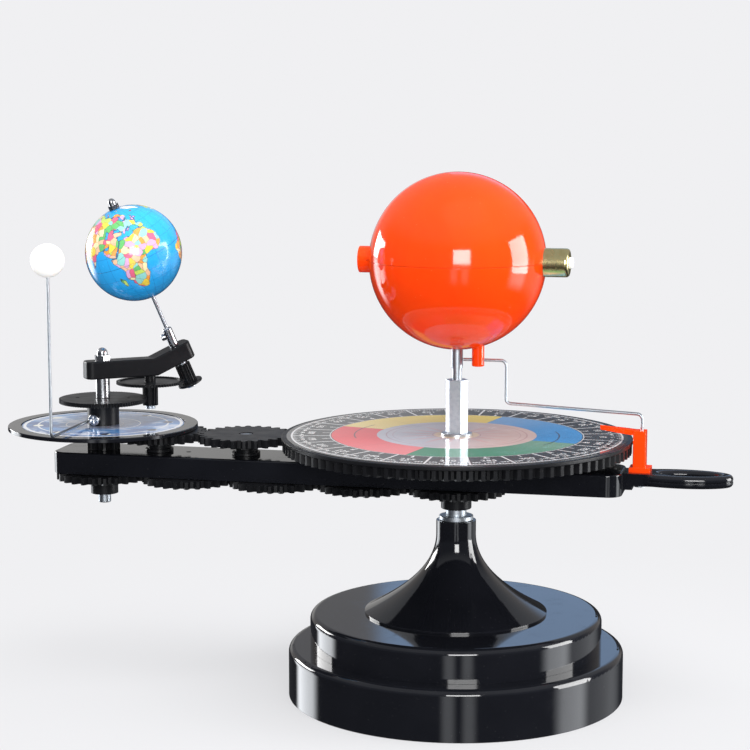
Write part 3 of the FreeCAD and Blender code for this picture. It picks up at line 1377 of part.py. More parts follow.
# ---------------------------------------------------------------------------------------------------
# Earth and its spindle, along the tilted axis
# ---------------------------------------------------------------------------------------------------
def make_earth():
    shaft = P.spin_shaft_dia.value / 2
    flange = P.spin_flange_thickness.value
    pinion_top = BRACKET_UNDER - P.spin_pinion_gap.value
    pinion_bottom = pinion_top - P.spin_pinion_length.value
    pinion = fine_gear(SPIN_TEETH, P.spin_pinion_length, SPIN_PHASE)
    pinion.translate(Vector(0, 0, pinion_bottom))
    disc = disc_shape(P.spin_flange_dia.value / 2, flange, pinion_bottom - flange)
    disc = disc.makeFillet(0.5, flat_edges(disc))
    pinion = pinion.fuse(disc).cut(disc_shape(shaft, 60, pinion_bottom - 20)).removeSplitter()
    shaped("earth_pinion", pinion, SPIN_PLACEMENT)

    coupling_bottom = BRACKET_UNDER + P.bracket_thickness.value + PLAY.value
    coupling_top = coupling_bottom + P.coupling_length.value
    shaft_depth = 5.0
    rod_depth = 7.0
    screw_height = 1.9
    shaft_bottom = pinion_bottom - flange - screw_height
    spindle_length = coupling_bottom + shaft_depth - pinion_bottom + flange
    spindle = disc_shape(shaft, spindle_length, pinion_bottom - flange)
    spindle = spindle.fuse(disc_shape(3.1, screw_height, shaft_bottom))
    screw_slot = Part.makeBox(8, 0.8, 0.8, Vector(-4, -0.4, shaft_bottom - 0.1))
    shaped("spin_shaft", spindle.cut(screw_slot).removeSplitter(), SPIN_PLACEMENT)

    rod = P.spindle_rod_dia.value / 2
    earth = P.earth_dia.value / 2
    lift_height = P.earth_lift.value
    coupling = disc_shape(P.coupling_dia.value / 2, P.coupling_length.value, coupling_bottom)
    coupling = coupling.makeChamfer(0.4, flat_edges(coupling))
    coupling = coupling.cut(disc_shape(shaft, shaft_depth + 0.01, coupling_bottom - 0.01))
    coupling = coupling.cut(disc_shape(rod, rod_depth + 0.01, coupling_top - rod_depth))
    side = polar(1, math.radians(P.coupling_screw_heading.value))
    height = Vector(0, 0, coupling_top - P.coupling_screw_drop.value)
    thread = P.coupling_screw_dia.value / 4
    bore = Part.makeCylinder(thread, 8, height, side)
    shaped("earth_coupling", coupling.cut(bore), SPIN_PLACEMENT)
    head_start = P.coupling_dia.value / 2
    head_length = P.coupling_screw_head.value
    head = Part.makeCylinder(P.coupling_screw_dia.value / 2, head_length, side * head_start + height, side)
    rims = [edge for edge in head.Edges if edge.CenterOfMass.dot(side) > head_start + head_length * 0.9]
    head = head.makeFillet(head_length / 3, rims)
    shank = Part.makeCylinder(thread, head_start, height, side).cut(disc_shape(rod, 200, 0))
    slot = Part.makeBox(0.8, 8, 0.8, Vector(-0.4, -4, -0.8))
    turn = Rotation(Vector(0, 0, 1), side)
    slot.Placement = Placement(side * (head_start + head_length) + height, turn).multiply(slot.Placement)
    shaped("coupling_screw", head.fuse(shank).cut(slot).removeSplitter(), SPIN_PLACEMENT)

    pole = lift_height + earth
    rod_top = pole + 3.8
    rod_bottom = coupling_top - rod_depth + 0.1
    shaped("earth_rod", disc_shape(rod, rod_top - rod_bottom, rod_bottom), SPIN_PLACEMENT)

    centre = Vector(0, 0, lift_height)
    shell = Part.makeSphere(earth, centre).cut(Part.makeSphere(earth - P.earth_wall.value, centre))
    shell = shell.cut(disc_shape(rod, 200, 0))
    north_box = Part.makeBox(200, 200, 100, Vector(-100, -100, lift_height))
    shaped("globe_north", shell.common(north_box), SPIN_PLACEMENT)
    shaped("globe_south", shell.cut(north_box), SPIN_PLACEMENT)

    nut = acorn_shape(P.pole_nut_flats.value, P.pole_nut_height.value, rod, 3.9, pole + 0.05)
    shaped("pole_nut", nut, SPIN_PLACEMENT)


# ---------------------------------------------------------------------------------------------------
# Tooth phases, so that every mesh starts with a tooth in a gap
# ---------------------------------------------------------------------------------------------------
TOWARDS_EARTH = math.pi
LOWER_PHASES = [0.0]
for _ in range(4):
    LOWER_PHASES.append(meshing_phase(IDLER_TEETH, LOWER_PHASES[-1], IDLER_TEETH, TOWARDS_EARTH))
DIAL_PHASE = 0.0
UPPER_A_PHASE = meshing_phase(DIAL_TEETH, DIAL_PHASE, IDLER_TEETH, TOWARDS_EARTH)
UPPER_B_PHASE = meshing_phase(IDLER_TEETH, UPPER_A_PHASE, IDLER_TEETH, TOWARDS_EARTH)
MOON_PHASE = meshing_phase(IDLER_TEETH, UPPER_B_PHASE, MOON_TEETH, TOWARDS_EARTH)
DRIVE_PHASE = 0.0
TRANSFER_PHASE = meshing_phase(DRIVE_TEETH, DRIVE_PHASE, TRANSFER_TEETH, HEADING)
# a crown tooth points along the heading, and a gap of the Earth's pinion faces it
CROWN_PHASE = HEADING
SPIN_PHASE = math.pi + math.pi / SPIN_TEETH

make_base()
make_stem()
make_column()
make_dial()
make_arm()
make_axles()
make_handle()
make_pointer()
make_link_wire()
make_sun()
make_torch()
make_idlers()
make_moon_carrier()
make_earth_carrier()
make_transfer()
make_earth()

# ---------------------------------------------------------------------------------------------------
# Checks and export
# ---------------------------------------------------------------------------------------------------
doc.recompute()
for item in doc.Objects:
    for fault in ("Invalid", "Error"):
        if fault in item.State:
            raise RuntimeError(f"{item.Label} is in state {item.State}")
for piece in pieces:
    if piece.Shape.isNull() or not piece.Shape.isValid():
        raise RuntimeError(f"{piece.Label} has no valid shape")

os.makedirs("parts", exist_ok=True)
for piece in pieces:
    piece.Shape.exportStep(f"parts/{piece.Label}.step")
print(len(pieces), "sub-parts written")
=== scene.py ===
import json
import math
import random

import bmesh
import bpy
import numpy as np
from mathutils import Matrix, Vector
from mathutils.geometry import delaunay_2d_cdt


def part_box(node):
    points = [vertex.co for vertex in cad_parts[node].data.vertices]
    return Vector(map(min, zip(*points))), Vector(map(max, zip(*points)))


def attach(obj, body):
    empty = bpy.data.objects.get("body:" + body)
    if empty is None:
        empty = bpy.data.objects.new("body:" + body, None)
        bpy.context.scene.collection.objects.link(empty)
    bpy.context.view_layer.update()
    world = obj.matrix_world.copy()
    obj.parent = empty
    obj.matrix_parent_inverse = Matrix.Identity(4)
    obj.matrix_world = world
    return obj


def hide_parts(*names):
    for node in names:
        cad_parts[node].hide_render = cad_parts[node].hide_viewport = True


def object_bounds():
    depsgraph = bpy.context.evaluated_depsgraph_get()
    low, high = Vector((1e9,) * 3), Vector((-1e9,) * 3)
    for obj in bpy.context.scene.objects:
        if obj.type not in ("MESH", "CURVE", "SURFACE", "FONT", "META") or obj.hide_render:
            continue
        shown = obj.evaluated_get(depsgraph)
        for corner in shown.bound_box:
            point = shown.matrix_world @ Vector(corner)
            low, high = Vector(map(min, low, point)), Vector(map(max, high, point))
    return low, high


# Looks of the three-ball orrery: finishes for every CAD node, the printed globe, dial and Moon sheet,
# and a pale studio. Metres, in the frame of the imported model.

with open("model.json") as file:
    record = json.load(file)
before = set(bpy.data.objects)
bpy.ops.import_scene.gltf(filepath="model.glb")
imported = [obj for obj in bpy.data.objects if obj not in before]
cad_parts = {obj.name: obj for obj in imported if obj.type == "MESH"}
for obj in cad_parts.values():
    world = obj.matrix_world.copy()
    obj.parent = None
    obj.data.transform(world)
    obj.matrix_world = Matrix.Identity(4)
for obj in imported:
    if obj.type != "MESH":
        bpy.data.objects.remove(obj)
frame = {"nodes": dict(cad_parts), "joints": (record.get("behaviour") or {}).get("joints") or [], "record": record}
cad_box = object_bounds()

MM = 0.001
PER_MM = 1000.0


# ---------------------------------------------------------------------------------------------------
# A short way to write node trees
# ---------------------------------------------------------------------------------------------------
class Tree:
    """A shader node tree, for a material or the world."""

    def __init__(self, tree):
        self.tree = tree
        tree.nodes.clear()

    def add(self, kind, inputs=None, **settings):
        node = self.tree.nodes.new("ShaderNode" + kind)
        for key, value in settings.items():
            setattr(node, key, value)
        for key, value in (inputs or {}).items():
            self.put(node.inputs[key], value)
        return node

    def put(self, socket, value):
        if isinstance(value, bpy.types.NodeSocket):
            self.tree.links.new(value, socket)
        elif hasattr(value, "__len__") and socket.type == "RGBA" and len(value) == 3:
            socket.default_value = (*value, 1.0)
        else:
            socket.default_value = value

    def math(self, operation, first, second=0.0, third=0.0, clamp=False):
        node = self.add("Math", {0: first, 1: second, 2: third}, operation=operation, use_clamp=clamp)
        return node.outputs[0]

    def vector(self, operation, first, second=(0.0, 0.0, 0.0)):
        node = self.add("VectorMath", {0: first, 1: second}, operation=operation)
        return node.outputs["Value" if operation in ("DOT_PRODUCT", "LENGTH") else "Vector"]

    def hypotenuse(self, x, y):
        squares = self.math("ADD", self.math("MULTIPLY", x, x), self.math("MULTIPLY", y, y))
        return self.math("SQRT", squares)

    def scaled(self, place, factor):
        return self.add("VectorMath", {0: place, "Scale": factor}, operation="SCALE").outputs["Vector"]

    def split(self, place):
        return self.add("SeparateXYZ", {0: place}).outputs

    def mix(self, share, low, high, blend="MIX"):
        node = self.add("Mix", data_type="RGBA", blend_type=blend)
        self.put(node.inputs["Factor"], share)
        self.put(node.inputs["A"], low)
        self.put(node.inputs["B"], high)
        return node.outputs["Result"]

    def blend(self, share, low, high):
        """A plain number between low and high."""
        node = self.add("MapRange", {"Value": share, "To Min": low, "To Max": high})
        return node.outputs["Result"]

    def smooth(self, value, start, finish):
        """From 0 at start to 1 at finish, smoothly. It may fall as well as rise."""
        inputs = {"Value": value, "From Min": start, "From Max": finish}
        return self.add("MapRange", inputs, interpolation_type="SMOOTHSTEP").outputs["Result"]

    def noise(self, place, scale, detail=3.0, roughness=0.55, distortion=0.0):
        inputs = {
            "Vector": place,
            "Scale": scale,
            "Detail": detail,
            "Roughness": roughness,
            "Distortion": distortion,
        }
        return self.add("TexNoise", inputs).outputs

    def place_mm(self):
        """The place on the piece, in millimetres."""
        return self.scaled(self.add("TexCoord").outputs["Object"], PER_MM)

    def stretched(self, place, x, y, z):
        return self.vector("MULTIPLY", place, (x, y, z))


class Finish(Tree):
    """A material with one Principled surface."""

    def __init__(self, name):
        self.material = bpy.data.materials.new(name)
        self.material.use_nodes = True
        super().__init__(self.material.node_tree)
        self.surface = self.add("BsdfPrincipled")
        self.output = self.add("OutputMaterial", {"Surface": self.surface.outputs[0]})
        self.normal = None

    def set(self, **inputs):
        names = {
            "colour": "Base Color",
            "metal": "Metallic",
            "rough": "Roughness",
            "coat": "Coat Weight",
            "coat_rough": "Coat Roughness",
            "specular": "Specular IOR Level",
            "subsurface": "Subsurface Weight",
            "subsurface_scale": "Subsurface Scale",
            "subsurface_radius": "Subsurface Radius",
            "through": "Transmission Weight",
            "ior": "IOR",
            "inner_light": "Emission Color",
            "inner_strength": "Emission Strength",
        }
        for key, value in inputs.items():
            self.put(self.surface.inputs[names[key]], value)

    def soften_edges(self, radius_mm):
        """Rounds the look of sharp CAD edges, and returns how close to an edge a point is."""
        bevel = self.add("Bevel", {"Radius": radius_mm * MM}, samples=4)
        flat = self.add("NewGeometry").outputs["Normal"]
        self.normal = bevel.outputs["Normal"]
        turned = self.vector("DOT_PRODUCT", self.normal, flat)
        return self.smooth(self.math("SUBTRACT", 1.0, turned), 0.01, 0.2)

    def raise_by(self, height, depth_mm, strength=1.0):
        inputs = {"Height": height, "Distance": depth_mm * MM, "Strength": strength}
        if self.normal is not None:
            inputs["Normal"] = self.normal
        self.normal = self.add("Bump", inputs).outputs["Normal"]

    def done(self):
        if self.normal is not None:
            self.put(self.surface.inputs["Normal"], self.normal)
        return self.material


def hairlines(tree, place, scale):
    """Fine crossing scratches, from 0 to 1."""
    total = None
    for turn in (0.35, 1.9, 2.7):
        spun = place
        for axis, angle in (("Z_AXIS", turn), ("X_AXIS", turn * 1.7)):
            inputs = {"Vector": spun, "Angle": angle}
            spun = tree.add("VectorRotate", inputs, rotation_type=axis).outputs[0]
        streak = tree.noise(tree.stretched(spun, 0.03, 1.0, 1.0), scale, 2.0)["Fac"]
        line = tree.smooth(tree.math("ABSOLUTE", tree.math("SUBTRACT", streak, 0.5)), 0.012, 0.0)
        total = line if total is None else tree.math("MAXIMUM", total, line)
    patches = tree.smooth(tree.noise(place, scale * 0.12)["Fac"], 0.5, 0.66)
    return tree.math("MULTIPLY", total, patches)


def specks(tree, place, scale, share):
    """Sparse dust specks, from 0 to 1."""
    dots = tree.add("TexVoronoi", {"Vector": place, "Scale": scale}).outputs
    chance = tree.math("GREATER_THAN", tree.split(dots["Color"])[0], 1.0 - share)
    return tree.math("MULTIPLY", tree.smooth(dots["Distance"], 0.16, 0.06), chance)


# ---------------------------------------------------------------------------------------------------
# Finishes of the material slots
# ---------------------------------------------------------------------------------------------------
def moulded_plastic(name, dark, light, rough, grain_depth, edge_mm, edge_colour, coat, specular=0.5):
    """Injection-moulded plastic: flow mottling, a fine skin, dust, hairlines and rubbed edges."""
    f = Finish(name)
    place = f.place_mm()
    edge = f.soften_edges(edge_mm)
    mottle = f.noise(place, 0.045, 4.0)["Fac"]
    dust = specks(f, place, 0.9, 0.06)
    scratch = hairlines(f, place, 0.5)
    rubbed = f.math("MULTIPLY", edge, f.smooth(f.noise(place, 0.22, 4.0)["Fac"], 0.42, 0.7))
    colour = f.mix(mottle, dark, light)
    colour = f.mix(f.math("MULTIPLY", rubbed, 0.55), colour, edge_colour)
    colour = f.mix(f.math("MULTIPLY", dust, 0.25), colour, (0.32, 0.31, 0.3))
    blotch = f.noise(place, 0.11, 5.0)["Fac"]
    roughness = f.blend(blotch, rough * 0.7, rough * 1.35)
    roughness = f.math("ADD", roughness, f.math("MULTIPLY", scratch, 0.16))
    roughness = f.math("ADD", roughness, f.math("MULTIPLY", dust, 0.3), clamp=True)
    f.raise_by(f.noise(place, 0.3, 2.0)["Fac"], 0.012, 0.35)
    if grain_depth:
        f.raise_by(f.noise(place, 5.0, 3.0)["Fac"], grain_depth, 0.6)
    f.set(colour=colour, rough=roughness, coat=coat, coat_rough=0.04, specular=specular)
    return f.done()


def black_gloss():
    dark, light = (0.0045, 0.005, 0.007), (0.0085, 0.009, 0.012)
    return moulded_plastic("black_gloss", dark, light, 0.07, 0, 0.35, (0.05, 0.052, 0.06), 0.25)


def black_satin():
    dark, light = (0.005, 0.0054, 0.0065), (0.011, 0.0112, 0.013)
    return moulded_plastic("black_satin", dark, light, 0.34, 0.012, 0.05, (0.08, 0.08, 0.085), 0.0, 0.2)


def orange_gloss(name, coat):
    f = Finish(name)
    place = f.place_mm()
    edge = f.soften_edges(0.3)
    flow = f.noise(f.stretched(place, 1.0, 1.0, 0.35), 0.028, 4.0, 0.5, 0.6)["Fac"]
    colour = f.mix(flow, (0.93, 0.045, 0.002), (0.98, 0.068, 0.003))
    colour = f.mix(f.math("MULTIPLY", edge, 0.35), colour, (0.95, 0.16, 0.03))
    dust = specks(f, place, 0.55, 0.05)
    colour = f.mix(f.math("MULTIPLY", dust, 0.3), colour, (0.95, 0.45, 0.25))
    blotch = f.noise(place, 0.07, 5.0)["Fac"]
    roughness = f.blend(blotch, 0.045, 0.12)
    roughness = f.math("ADD", roughness, f.math("MULTIPLY", hairlines(f, place, 0.35), 0.14), clamp=True)
    f.raise_by(f.noise(place, 0.09, 2.0)["Fac"], 0.05, 0.35)
    f.set(colour=colour, rough=roughness, coat=coat, coat_rough=0.03)
    f.set(subsurface=0.12, subsurface_scale=0.003, subsurface_radius=(1.0, 0.25, 0.08))
    return f.done()


def turned_metal(name, pale, deep, rough, lines, line_depth, tarnish, drawn=(1.0, 1.0, 0.05)):
    """Plated or polished metal with tool lines, handling marks and a little tarnish."""
    f = Finish(name)
    place = f.place_mm()
    edge = f.soften_edges(0.15)
    streak = f.noise(f.stretched(place, *drawn), lines, 3.0)["Fac"]
    cloud = f.noise(place, 0.35, 5.0, 0.6)["Fac"]
    colour = f.mix(f.smooth(cloud, 0.35, 0.75), pale, deep)
    spots = f.smooth(f.noise(place, 0.9, 6.0, 0.7)["Fac"], 0.62, 0.78)
    colour = f.mix(f.math("MULTIPLY", spots, 0.35), colour, tarnish)
    colour = f.mix(f.math("MULTIPLY", edge, 0.4), colour, (0.92, 0.92, 0.93))
    roughness = f.blend(cloud, rough * 0.8, rough * 1.25)
    roughness = f.math("ADD", roughness, f.math("MULTIPLY", spots, 0.07))
    roughness = f.math("ADD", roughness, f.math("MULTIPLY", hairlines(f, place, 1.2), 0.15), clamp=True)
    f.raise_by(streak, line_depth, 0.5)
    f.set(colour=colour, metal=1.0, rough=roughness)
    return f.done()


def zinc_steel():
    pale, deep = (0.58, 0.62, 0.66), (0.46, 0.51, 0.57)
    return turned_metal("zinc_steel", pale, deep, 0.42, 2.4, 0.02, (0.36, 0.37, 0.38))


def chrome():
    pale, deep = (0.7, 0.71, 0.73), (0.6, 0.61, 0.64)
    return turned_metal("chrome", pale, deep, 0.24, 1.2, 0.004, (0.45, 0.45, 0.45))


def brass():
    pale, deep = (0.88, 0.78, 0.4), (0.8, 0.68, 0.31)
    return turned_metal("brass", pale, deep, 0.24, 2.0, 0.003, (0.62, 0.48, 0.2), (0.04, 1.0, 1.0))


def ballast_iron():
    f = Finish("ballast_iron")
    place = f.place_mm()
    cast = f.noise(place, 0.8, 6.0, 0.65)["Fac"]
    colour = f.mix(cast, (0.11, 0.11, 0.115), (0.22, 0.21, 0.2))
    rust = f.smooth(f.noise(place, 0.16, 5.0)["Fac"], 0.6, 0.72)
    colour = f.mix(f.math("MULTIPLY", rust, 0.6), colour, (0.2, 0.075, 0.03))
    f.raise_by(cast, 0.15, 0.8)
    f.set(colour=colour, metal=f.blend(rust, 0.8, 0.1), rough=f.blend(cast, 0.5, 0.8))
    return f.done()


def pale_plastic(name, low, high, rough, glow):
    """Milky plastic that light sinks into a little. It also gives off light, as strong as its glow says: a painted
    glow, not light from any lamp.
    """
    f = Finish(name)
    place = f.place_mm()
    f.soften_edges(0.2)
    mottle = f.noise(place, 0.13, 5.0, 0.6)["Fac"]
    dust = specks(f, place, 0.8, 0.1)
    colour = f.mix(mottle, low, high)
    colour = f.mix(f.math("MULTIPLY", dust, 0.35), colour, (0.45, 0.42, 0.37))
    pits = f.noise(place, 1.1, 4.0)["Fac"]
    f.raise_by(pits, 0.008, 0.4)
    f.set(colour=colour, rough=f.blend(pits, rough * 0.75, rough * 1.3))
    f.set(subsurface=glow, subsurface_scale=0.004, subsurface_radius=(1.0, 0.85, 0.65))
    # painted glow: the plastic gives off light of its own, not light from any lamp
    f.set(inner_light=colour, inner_strength=glow)
    return f.done()


def moon_white():
    return pale_plastic("moon_white", (0.84, 0.82, 0.78), (0.92, 0.91, 0.88), 0.34, 0.3)


def button_white():
    return pale_plastic("button_white", (0.78, 0.78, 0.77), (0.86, 0.86, 0.85), 0.18, 0.3)


def lamp_white():
    return pale_plastic("lamp_white", (0.8, 0.79, 0.73), (0.88, 0.87, 0.82), 0.12, 0.2)


def lens_clear():
    f = Finish("lens_clear")
    place = f.place_mm()
    cloud = f.noise(place, 0.6, 4.0)["Fac"]
    f.raise_by(f.noise(place, 0.4, 2.0)["Fac"], 0.01, 0.2)
    f.set(colour=f.mix(cloud, (0.93, 0.96, 0.97), (0.98, 0.99, 1.0)), rough=f.blend(cloud, 0.01, 0.06))
    f.set(through=0.9, ior=1.49)
    return f.done()


def cell_wrap():
    f = Finish("cell_wrap")
    place = f.place_mm()
    along = f.split(place)[0]
    band = f.smooth(f.math("ABSOLUTE", f.math("PINGPONG", along, 20.0)), 13.0, 13.4)
    foil = f.noise(f.stretched(place, 0.2, 1.0, 1.0), 1.4, 4.0)["Fac"]
    colour = f.mix(band, (0.02, 0.06, 0.13), (0.55, 0.33, 0.08))
    colour = f.mix(f.math("MULTIPLY", foil, 0.25), colour, (0.3, 0.3, 0.32))
    f.raise_by(foil, 0.02, 0.5)
    f.set(colour=colour, metal=0.55, rough=f.blend(foil, 0.2, 0.42), coat=0.4)
    return f.done()


# ---------------------------------------------------------------------------------------------------
# Printed sheets, drawn by formula
# ---------------------------------------------------------------------------------------------------
LINE_SOFTNESS = 0.08


class Chart(Finish):
    """A round printed sheet under a glossy film, with polar coordinates about its centre."""

    def __init__(self, name, centre):
        super().__init__(name)
        self.place = self.place_mm()
        self.local = self.vector("SUBTRACT", self.place, tuple(centre * PER_MM))
        self.x, self.y, _ = self.split(self.local)
        self.radius = self.hypotenuse(self.x, self.y)
        self.angle = self.math("ARCTAN2", self.y, self.x)

    def between(self, value, low, high, soft=0.12):
        rise = self.smooth(value, low - soft, low + soft)
        fall = self.smooth(value, high + soft, high - soft)
        return self.math("MULTIPLY", rise, fall)

    def circle(self, radius, width):
        """A drawn circle of this radius and line width."""
        off = self.math("ABSOLUTE", self.math("SUBTRACT", self.radius, radius))
        return self.smooth(off, width / 2 + LINE_SOFTNESS, width / 2 - LINE_SOFTNESS)

    def from_spoke(self, count, first=0.0):
        """(share of a division away from the nearest of count spokes, that spoke's angle)."""
        turns = self.math("MULTIPLY", self.math("SUBTRACT", self.angle, first), count / math.tau)
        nearest = self.math("ROUND", turns)
        spoke = self.math("MULTIPLY_ADD", nearest, math.tau / count, first)
        return self.math("SUBTRACT", turns, nearest), spoke

    def spokes(self, count, width, inner, outer, first=0.0):
        """Radial lines of a constant width, between two radii."""
        share, _ = self.from_spoke(count, first)
        arc = self.math("MULTIPLY", self.math("ABSOLUTE", share), math.tau / count)
        off = self.math("MULTIPLY", arc, self.radius)
        line = self.smooth(off, width / 2 + LINE_SOFTNESS, width / 2 - LINE_SOFTNESS)
        return self.math("MULTIPLY", line, self.between(self.radius, inner, outer))

    def film(self, colour, mottle_scale):
        """Ink on paper: fine print grain below, a clear film with shallow ripples and hairlines above."""
        grain = self.noise(self.place, 3.5, 3.0)["Fac"]
        age = self.noise(self.place, mottle_scale, 4.0)["Fac"]
        colour = self.mix(self.math("MULTIPLY", grain, 0.06), colour, (0.5, 0.5, 0.5))
        colour = self.mix(self.math("MULTIPLY", age, 0.05), colour, (0.62, 0.6, 0.52))
        scratch = hairlines(self, self.place, 0.4)
        self.raise_by(self.noise(self.place, 0.05, 2.0)["Fac"], 0.05, 0.3)
        film_rough = self.math("ADD", 0.035, self.math("MULTIPLY", scratch, 0.25))
        self.set(colour=colour, rough=self.blend(grain, 0.3, 0.45), coat=1.0, coat_rough=film_rough)
        return self.done()


WHITE = (0.82, 0.83, 0.84)
SEASON_COLOURS = ((0.02, 0.3, 0.72), (0.92, 0.7, 0.1), (0.88, 0.04, 0.06), (0.01, 0.26, 0.12))
SEASON_START = math.radians(-12)
BAND_INNER, BAND_OUTER = 50.0, 78.4
BAND_EDGE = 0.15
ORBIT_RADIUS, ORBIT_WIDTH, ORBIT_HALF_ARC = 64.0, 0.9, 0.42
RIM_INNER, RIM_OUTER = 79.5, 103.0
DIAL_MARKS = (
    # count, width, inner radius, outer radius, angle of the first
    (24, 1.3, RIM_INNER, RIM_OUTER, 0.0),
    (24, 1.0, RIM_INNER, 84.5, math.pi / 24),
    (72, 0.8, 99.5, RIM_OUTER, 0.0),
    (360, 0.4, 101.0, RIM_OUTER, 0.0),
)
RIM_CIRCLES = ((103.2, 1.1), (79.2, 0.6))
CENTRE_COLOURS = (
    # at the left and at the right, first in thin haze and then in thick haze
    ((0.42, 0.45, 0.55), (0.6, 0.42, 0.38)),
    ((0.6, 0.62, 0.7), (0.78, 0.6, 0.55)),
)


def dial_print():
    """Four season sectors, a pale centre with a sunburst and a black ring of divisions."""
    low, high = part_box("season_dial_sheet")
    c = Chart("dial_print", (low + high) / 2)
    ink = c.noise(c.place, 0.05, 4.0)["Fac"]
    quarter = c.math("DIVIDE", c.math("SUBTRACT", c.angle, SEASON_START), math.pi / 2)
    quarter = c.math("FLOORED_MODULO", quarter, 4.0)
    band = SEASON_COLOURS[0]
    for index, tint in enumerate(SEASON_COLOURS[1:], start=1):
        band = c.mix(c.math("GREATER_THAN", quarter, float(index)), band, tint)
    within = c.math("FRACT", quarter)
    band = c.mix(c.math("MULTIPLY", c.smooth(within, 0.35, 1.0), 0.2), band, WHITE)
    band = c.mix(c.math("MULTIPLY", ink, 0.1), band, (0.1, 0.1, 0.12))
    arc = c.between(c.math("PINGPONG", c.angle, math.pi), 0.0, ORBIT_HALF_ARC, 0.02)
    far_arc = c.between(c.math("ABSOLUTE", c.angle), math.pi - ORBIT_HALF_ARC, 4.0, 0.02)
    orbit = c.math("MULTIPLY", c.circle(ORBIT_RADIUS, ORBIT_WIDTH), c.math("MAXIMUM", arc, far_arc))
    band = c.mix(c.math("MULTIPLY", orbit, 0.8), band, (0.03, 0.03, 0.05))
    months = c.spokes(12, 0.35, BAND_INNER, BAND_OUTER, SEASON_START)
    band = c.mix(c.math("MULTIPLY", months, 0.35), band, (0.05, 0.05, 0.06))

    share, _ = c.from_spoke(16)
    ray_edge = c.math("MULTIPLY", c.math("ABSOLUTE", share), 90.0)
    ray = c.smooth(c.math("ADD", ray_edge, c.radius), 39.0, 36.0)
    side = c.smooth(c.x, -25.0, 35.0)
    haze = c.noise(c.place, 0.06, 4.0, 0.6, 0.8)["Fac"]
    thin, thick = (c.mix(side, left, right) for left, right in CENTRE_COLOURS)
    centre = c.mix(haze, thin, thick)
    centre = c.mix(c.math("MULTIPLY", ray, 0.5), centre, (0.72, 0.36, 0.34))
    centre = c.mix(c.smooth(c.radius, 15.0, 13.5), centre, (0.78, 0.6, 0.42))
    for ring, width in ((15.0, 0.5), (40.0, 0.35), (44.0, 0.8)):
        centre = c.mix(c.math("MULTIPLY", c.circle(ring, width), 0.6), centre, (0.4, 0.2, 0.24))

    rim = c.mix(ink, (0.012, 0.012, 0.014), (0.03, 0.03, 0.034))
    marks = 0.0
    for mark in DIAL_MARKS:
        marks = c.math("MAXIMUM", marks, c.spokes(*mark))
    for ring in RIM_CIRCLES:
        marks = c.math("MAXIMUM", marks, c.circle(*ring))
    rim = c.mix(c.math("MULTIPLY", marks, 0.92), rim, WHITE)

    colour = c.mix(c.smooth(c.radius, BAND_INNER - BAND_EDGE, BAND_INNER + BAND_EDGE), centre, band)
    colour = c.mix(c.smooth(c.radius, BAND_OUTER - BAND_EDGE, BAND_OUTER + BAND_EDGE), colour, rim)
    return c.film(colour, 0.03)


MOON_ORBIT, MOON_SIZE = 42.0, 3.4
MOON_RINGS = (
    # radius, width, strength
    (50.6, 2.0, 0.95),
    (MOON_ORBIT, 1.2, 0.9),
    (24.0, 0.8, 0.8),
    (13.0, 0.5, 0.6),
)


def moon_print():
    """A sky picture with two drawn orbits and eight Moon phases."""
    low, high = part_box("moon_disc_sheet")
    c = Chart("moon_print", (low + high) / 2)
    drift = c.noise(c.local, 0.035, 5.0, 0.6, 1.2)["Fac"]
    sky = c.mix(c.smooth(drift, 0.35, 0.62), (0.006, 0.07, 0.28), (0.05, 0.25, 0.6))
    cloud = c.noise(c.stretched(c.local, 0.6, 1.0, 1.0), 0.06, 6.0, 0.62, 0.9)["Fac"]
    sky = c.mix(c.math("MULTIPLY", c.smooth(cloud, 0.48, 0.62), 0.85), sky, (0.6, 0.66, 0.8))
    glow = c.smooth(c.radius, 30.0, 8.0)
    sky = c.mix(c.math("MULTIPLY", glow, 0.45), sky, (0.62, 0.62, 0.8))
    stars = specks(c, c.local, 0.35, 0.4)
    sky = c.mix(stars, sky, WHITE)
    for ring, width, strength in MOON_RINGS:
        sky = c.mix(c.math("MULTIPLY", c.circle(ring, width), strength), sky, WHITE)
    share, spoke = c.from_spoke(8, math.pi / 8)
    along = c.math("MULTIPLY", c.math("MULTIPLY", share, math.tau / 8), c.radius)
    outward = c.math("SUBTRACT", c.radius, MOON_ORBIT)
    moon = c.smooth(c.hypotenuse(along, outward), MOON_SIZE + 0.1, MOON_SIZE - 0.1)
    sunward = c.math(
        "SUBTRACT",
        c.math("MULTIPLY", outward, c.math("COSINE", spoke)),
        c.math("MULTIPLY", along, c.math("SINE", spoke)),
    )
    crescent = c.math("MULTIPLY", c.math("COSINE", spoke), MOON_SIZE * 0.9)
    lit = c.smooth(c.math("SUBTRACT", sunward, crescent), -0.2, 0.2)
    sky = c.mix(moon, sky, c.mix(lit, (0.015, 0.02, 0.05), (0.85, 0.84, 0.74)))
    sky = c.mix(c.math("MULTIPLY", c.circle(6.5, 0.3), 0.6), sky, WHITE)
    return c.film(sky, 0.08)


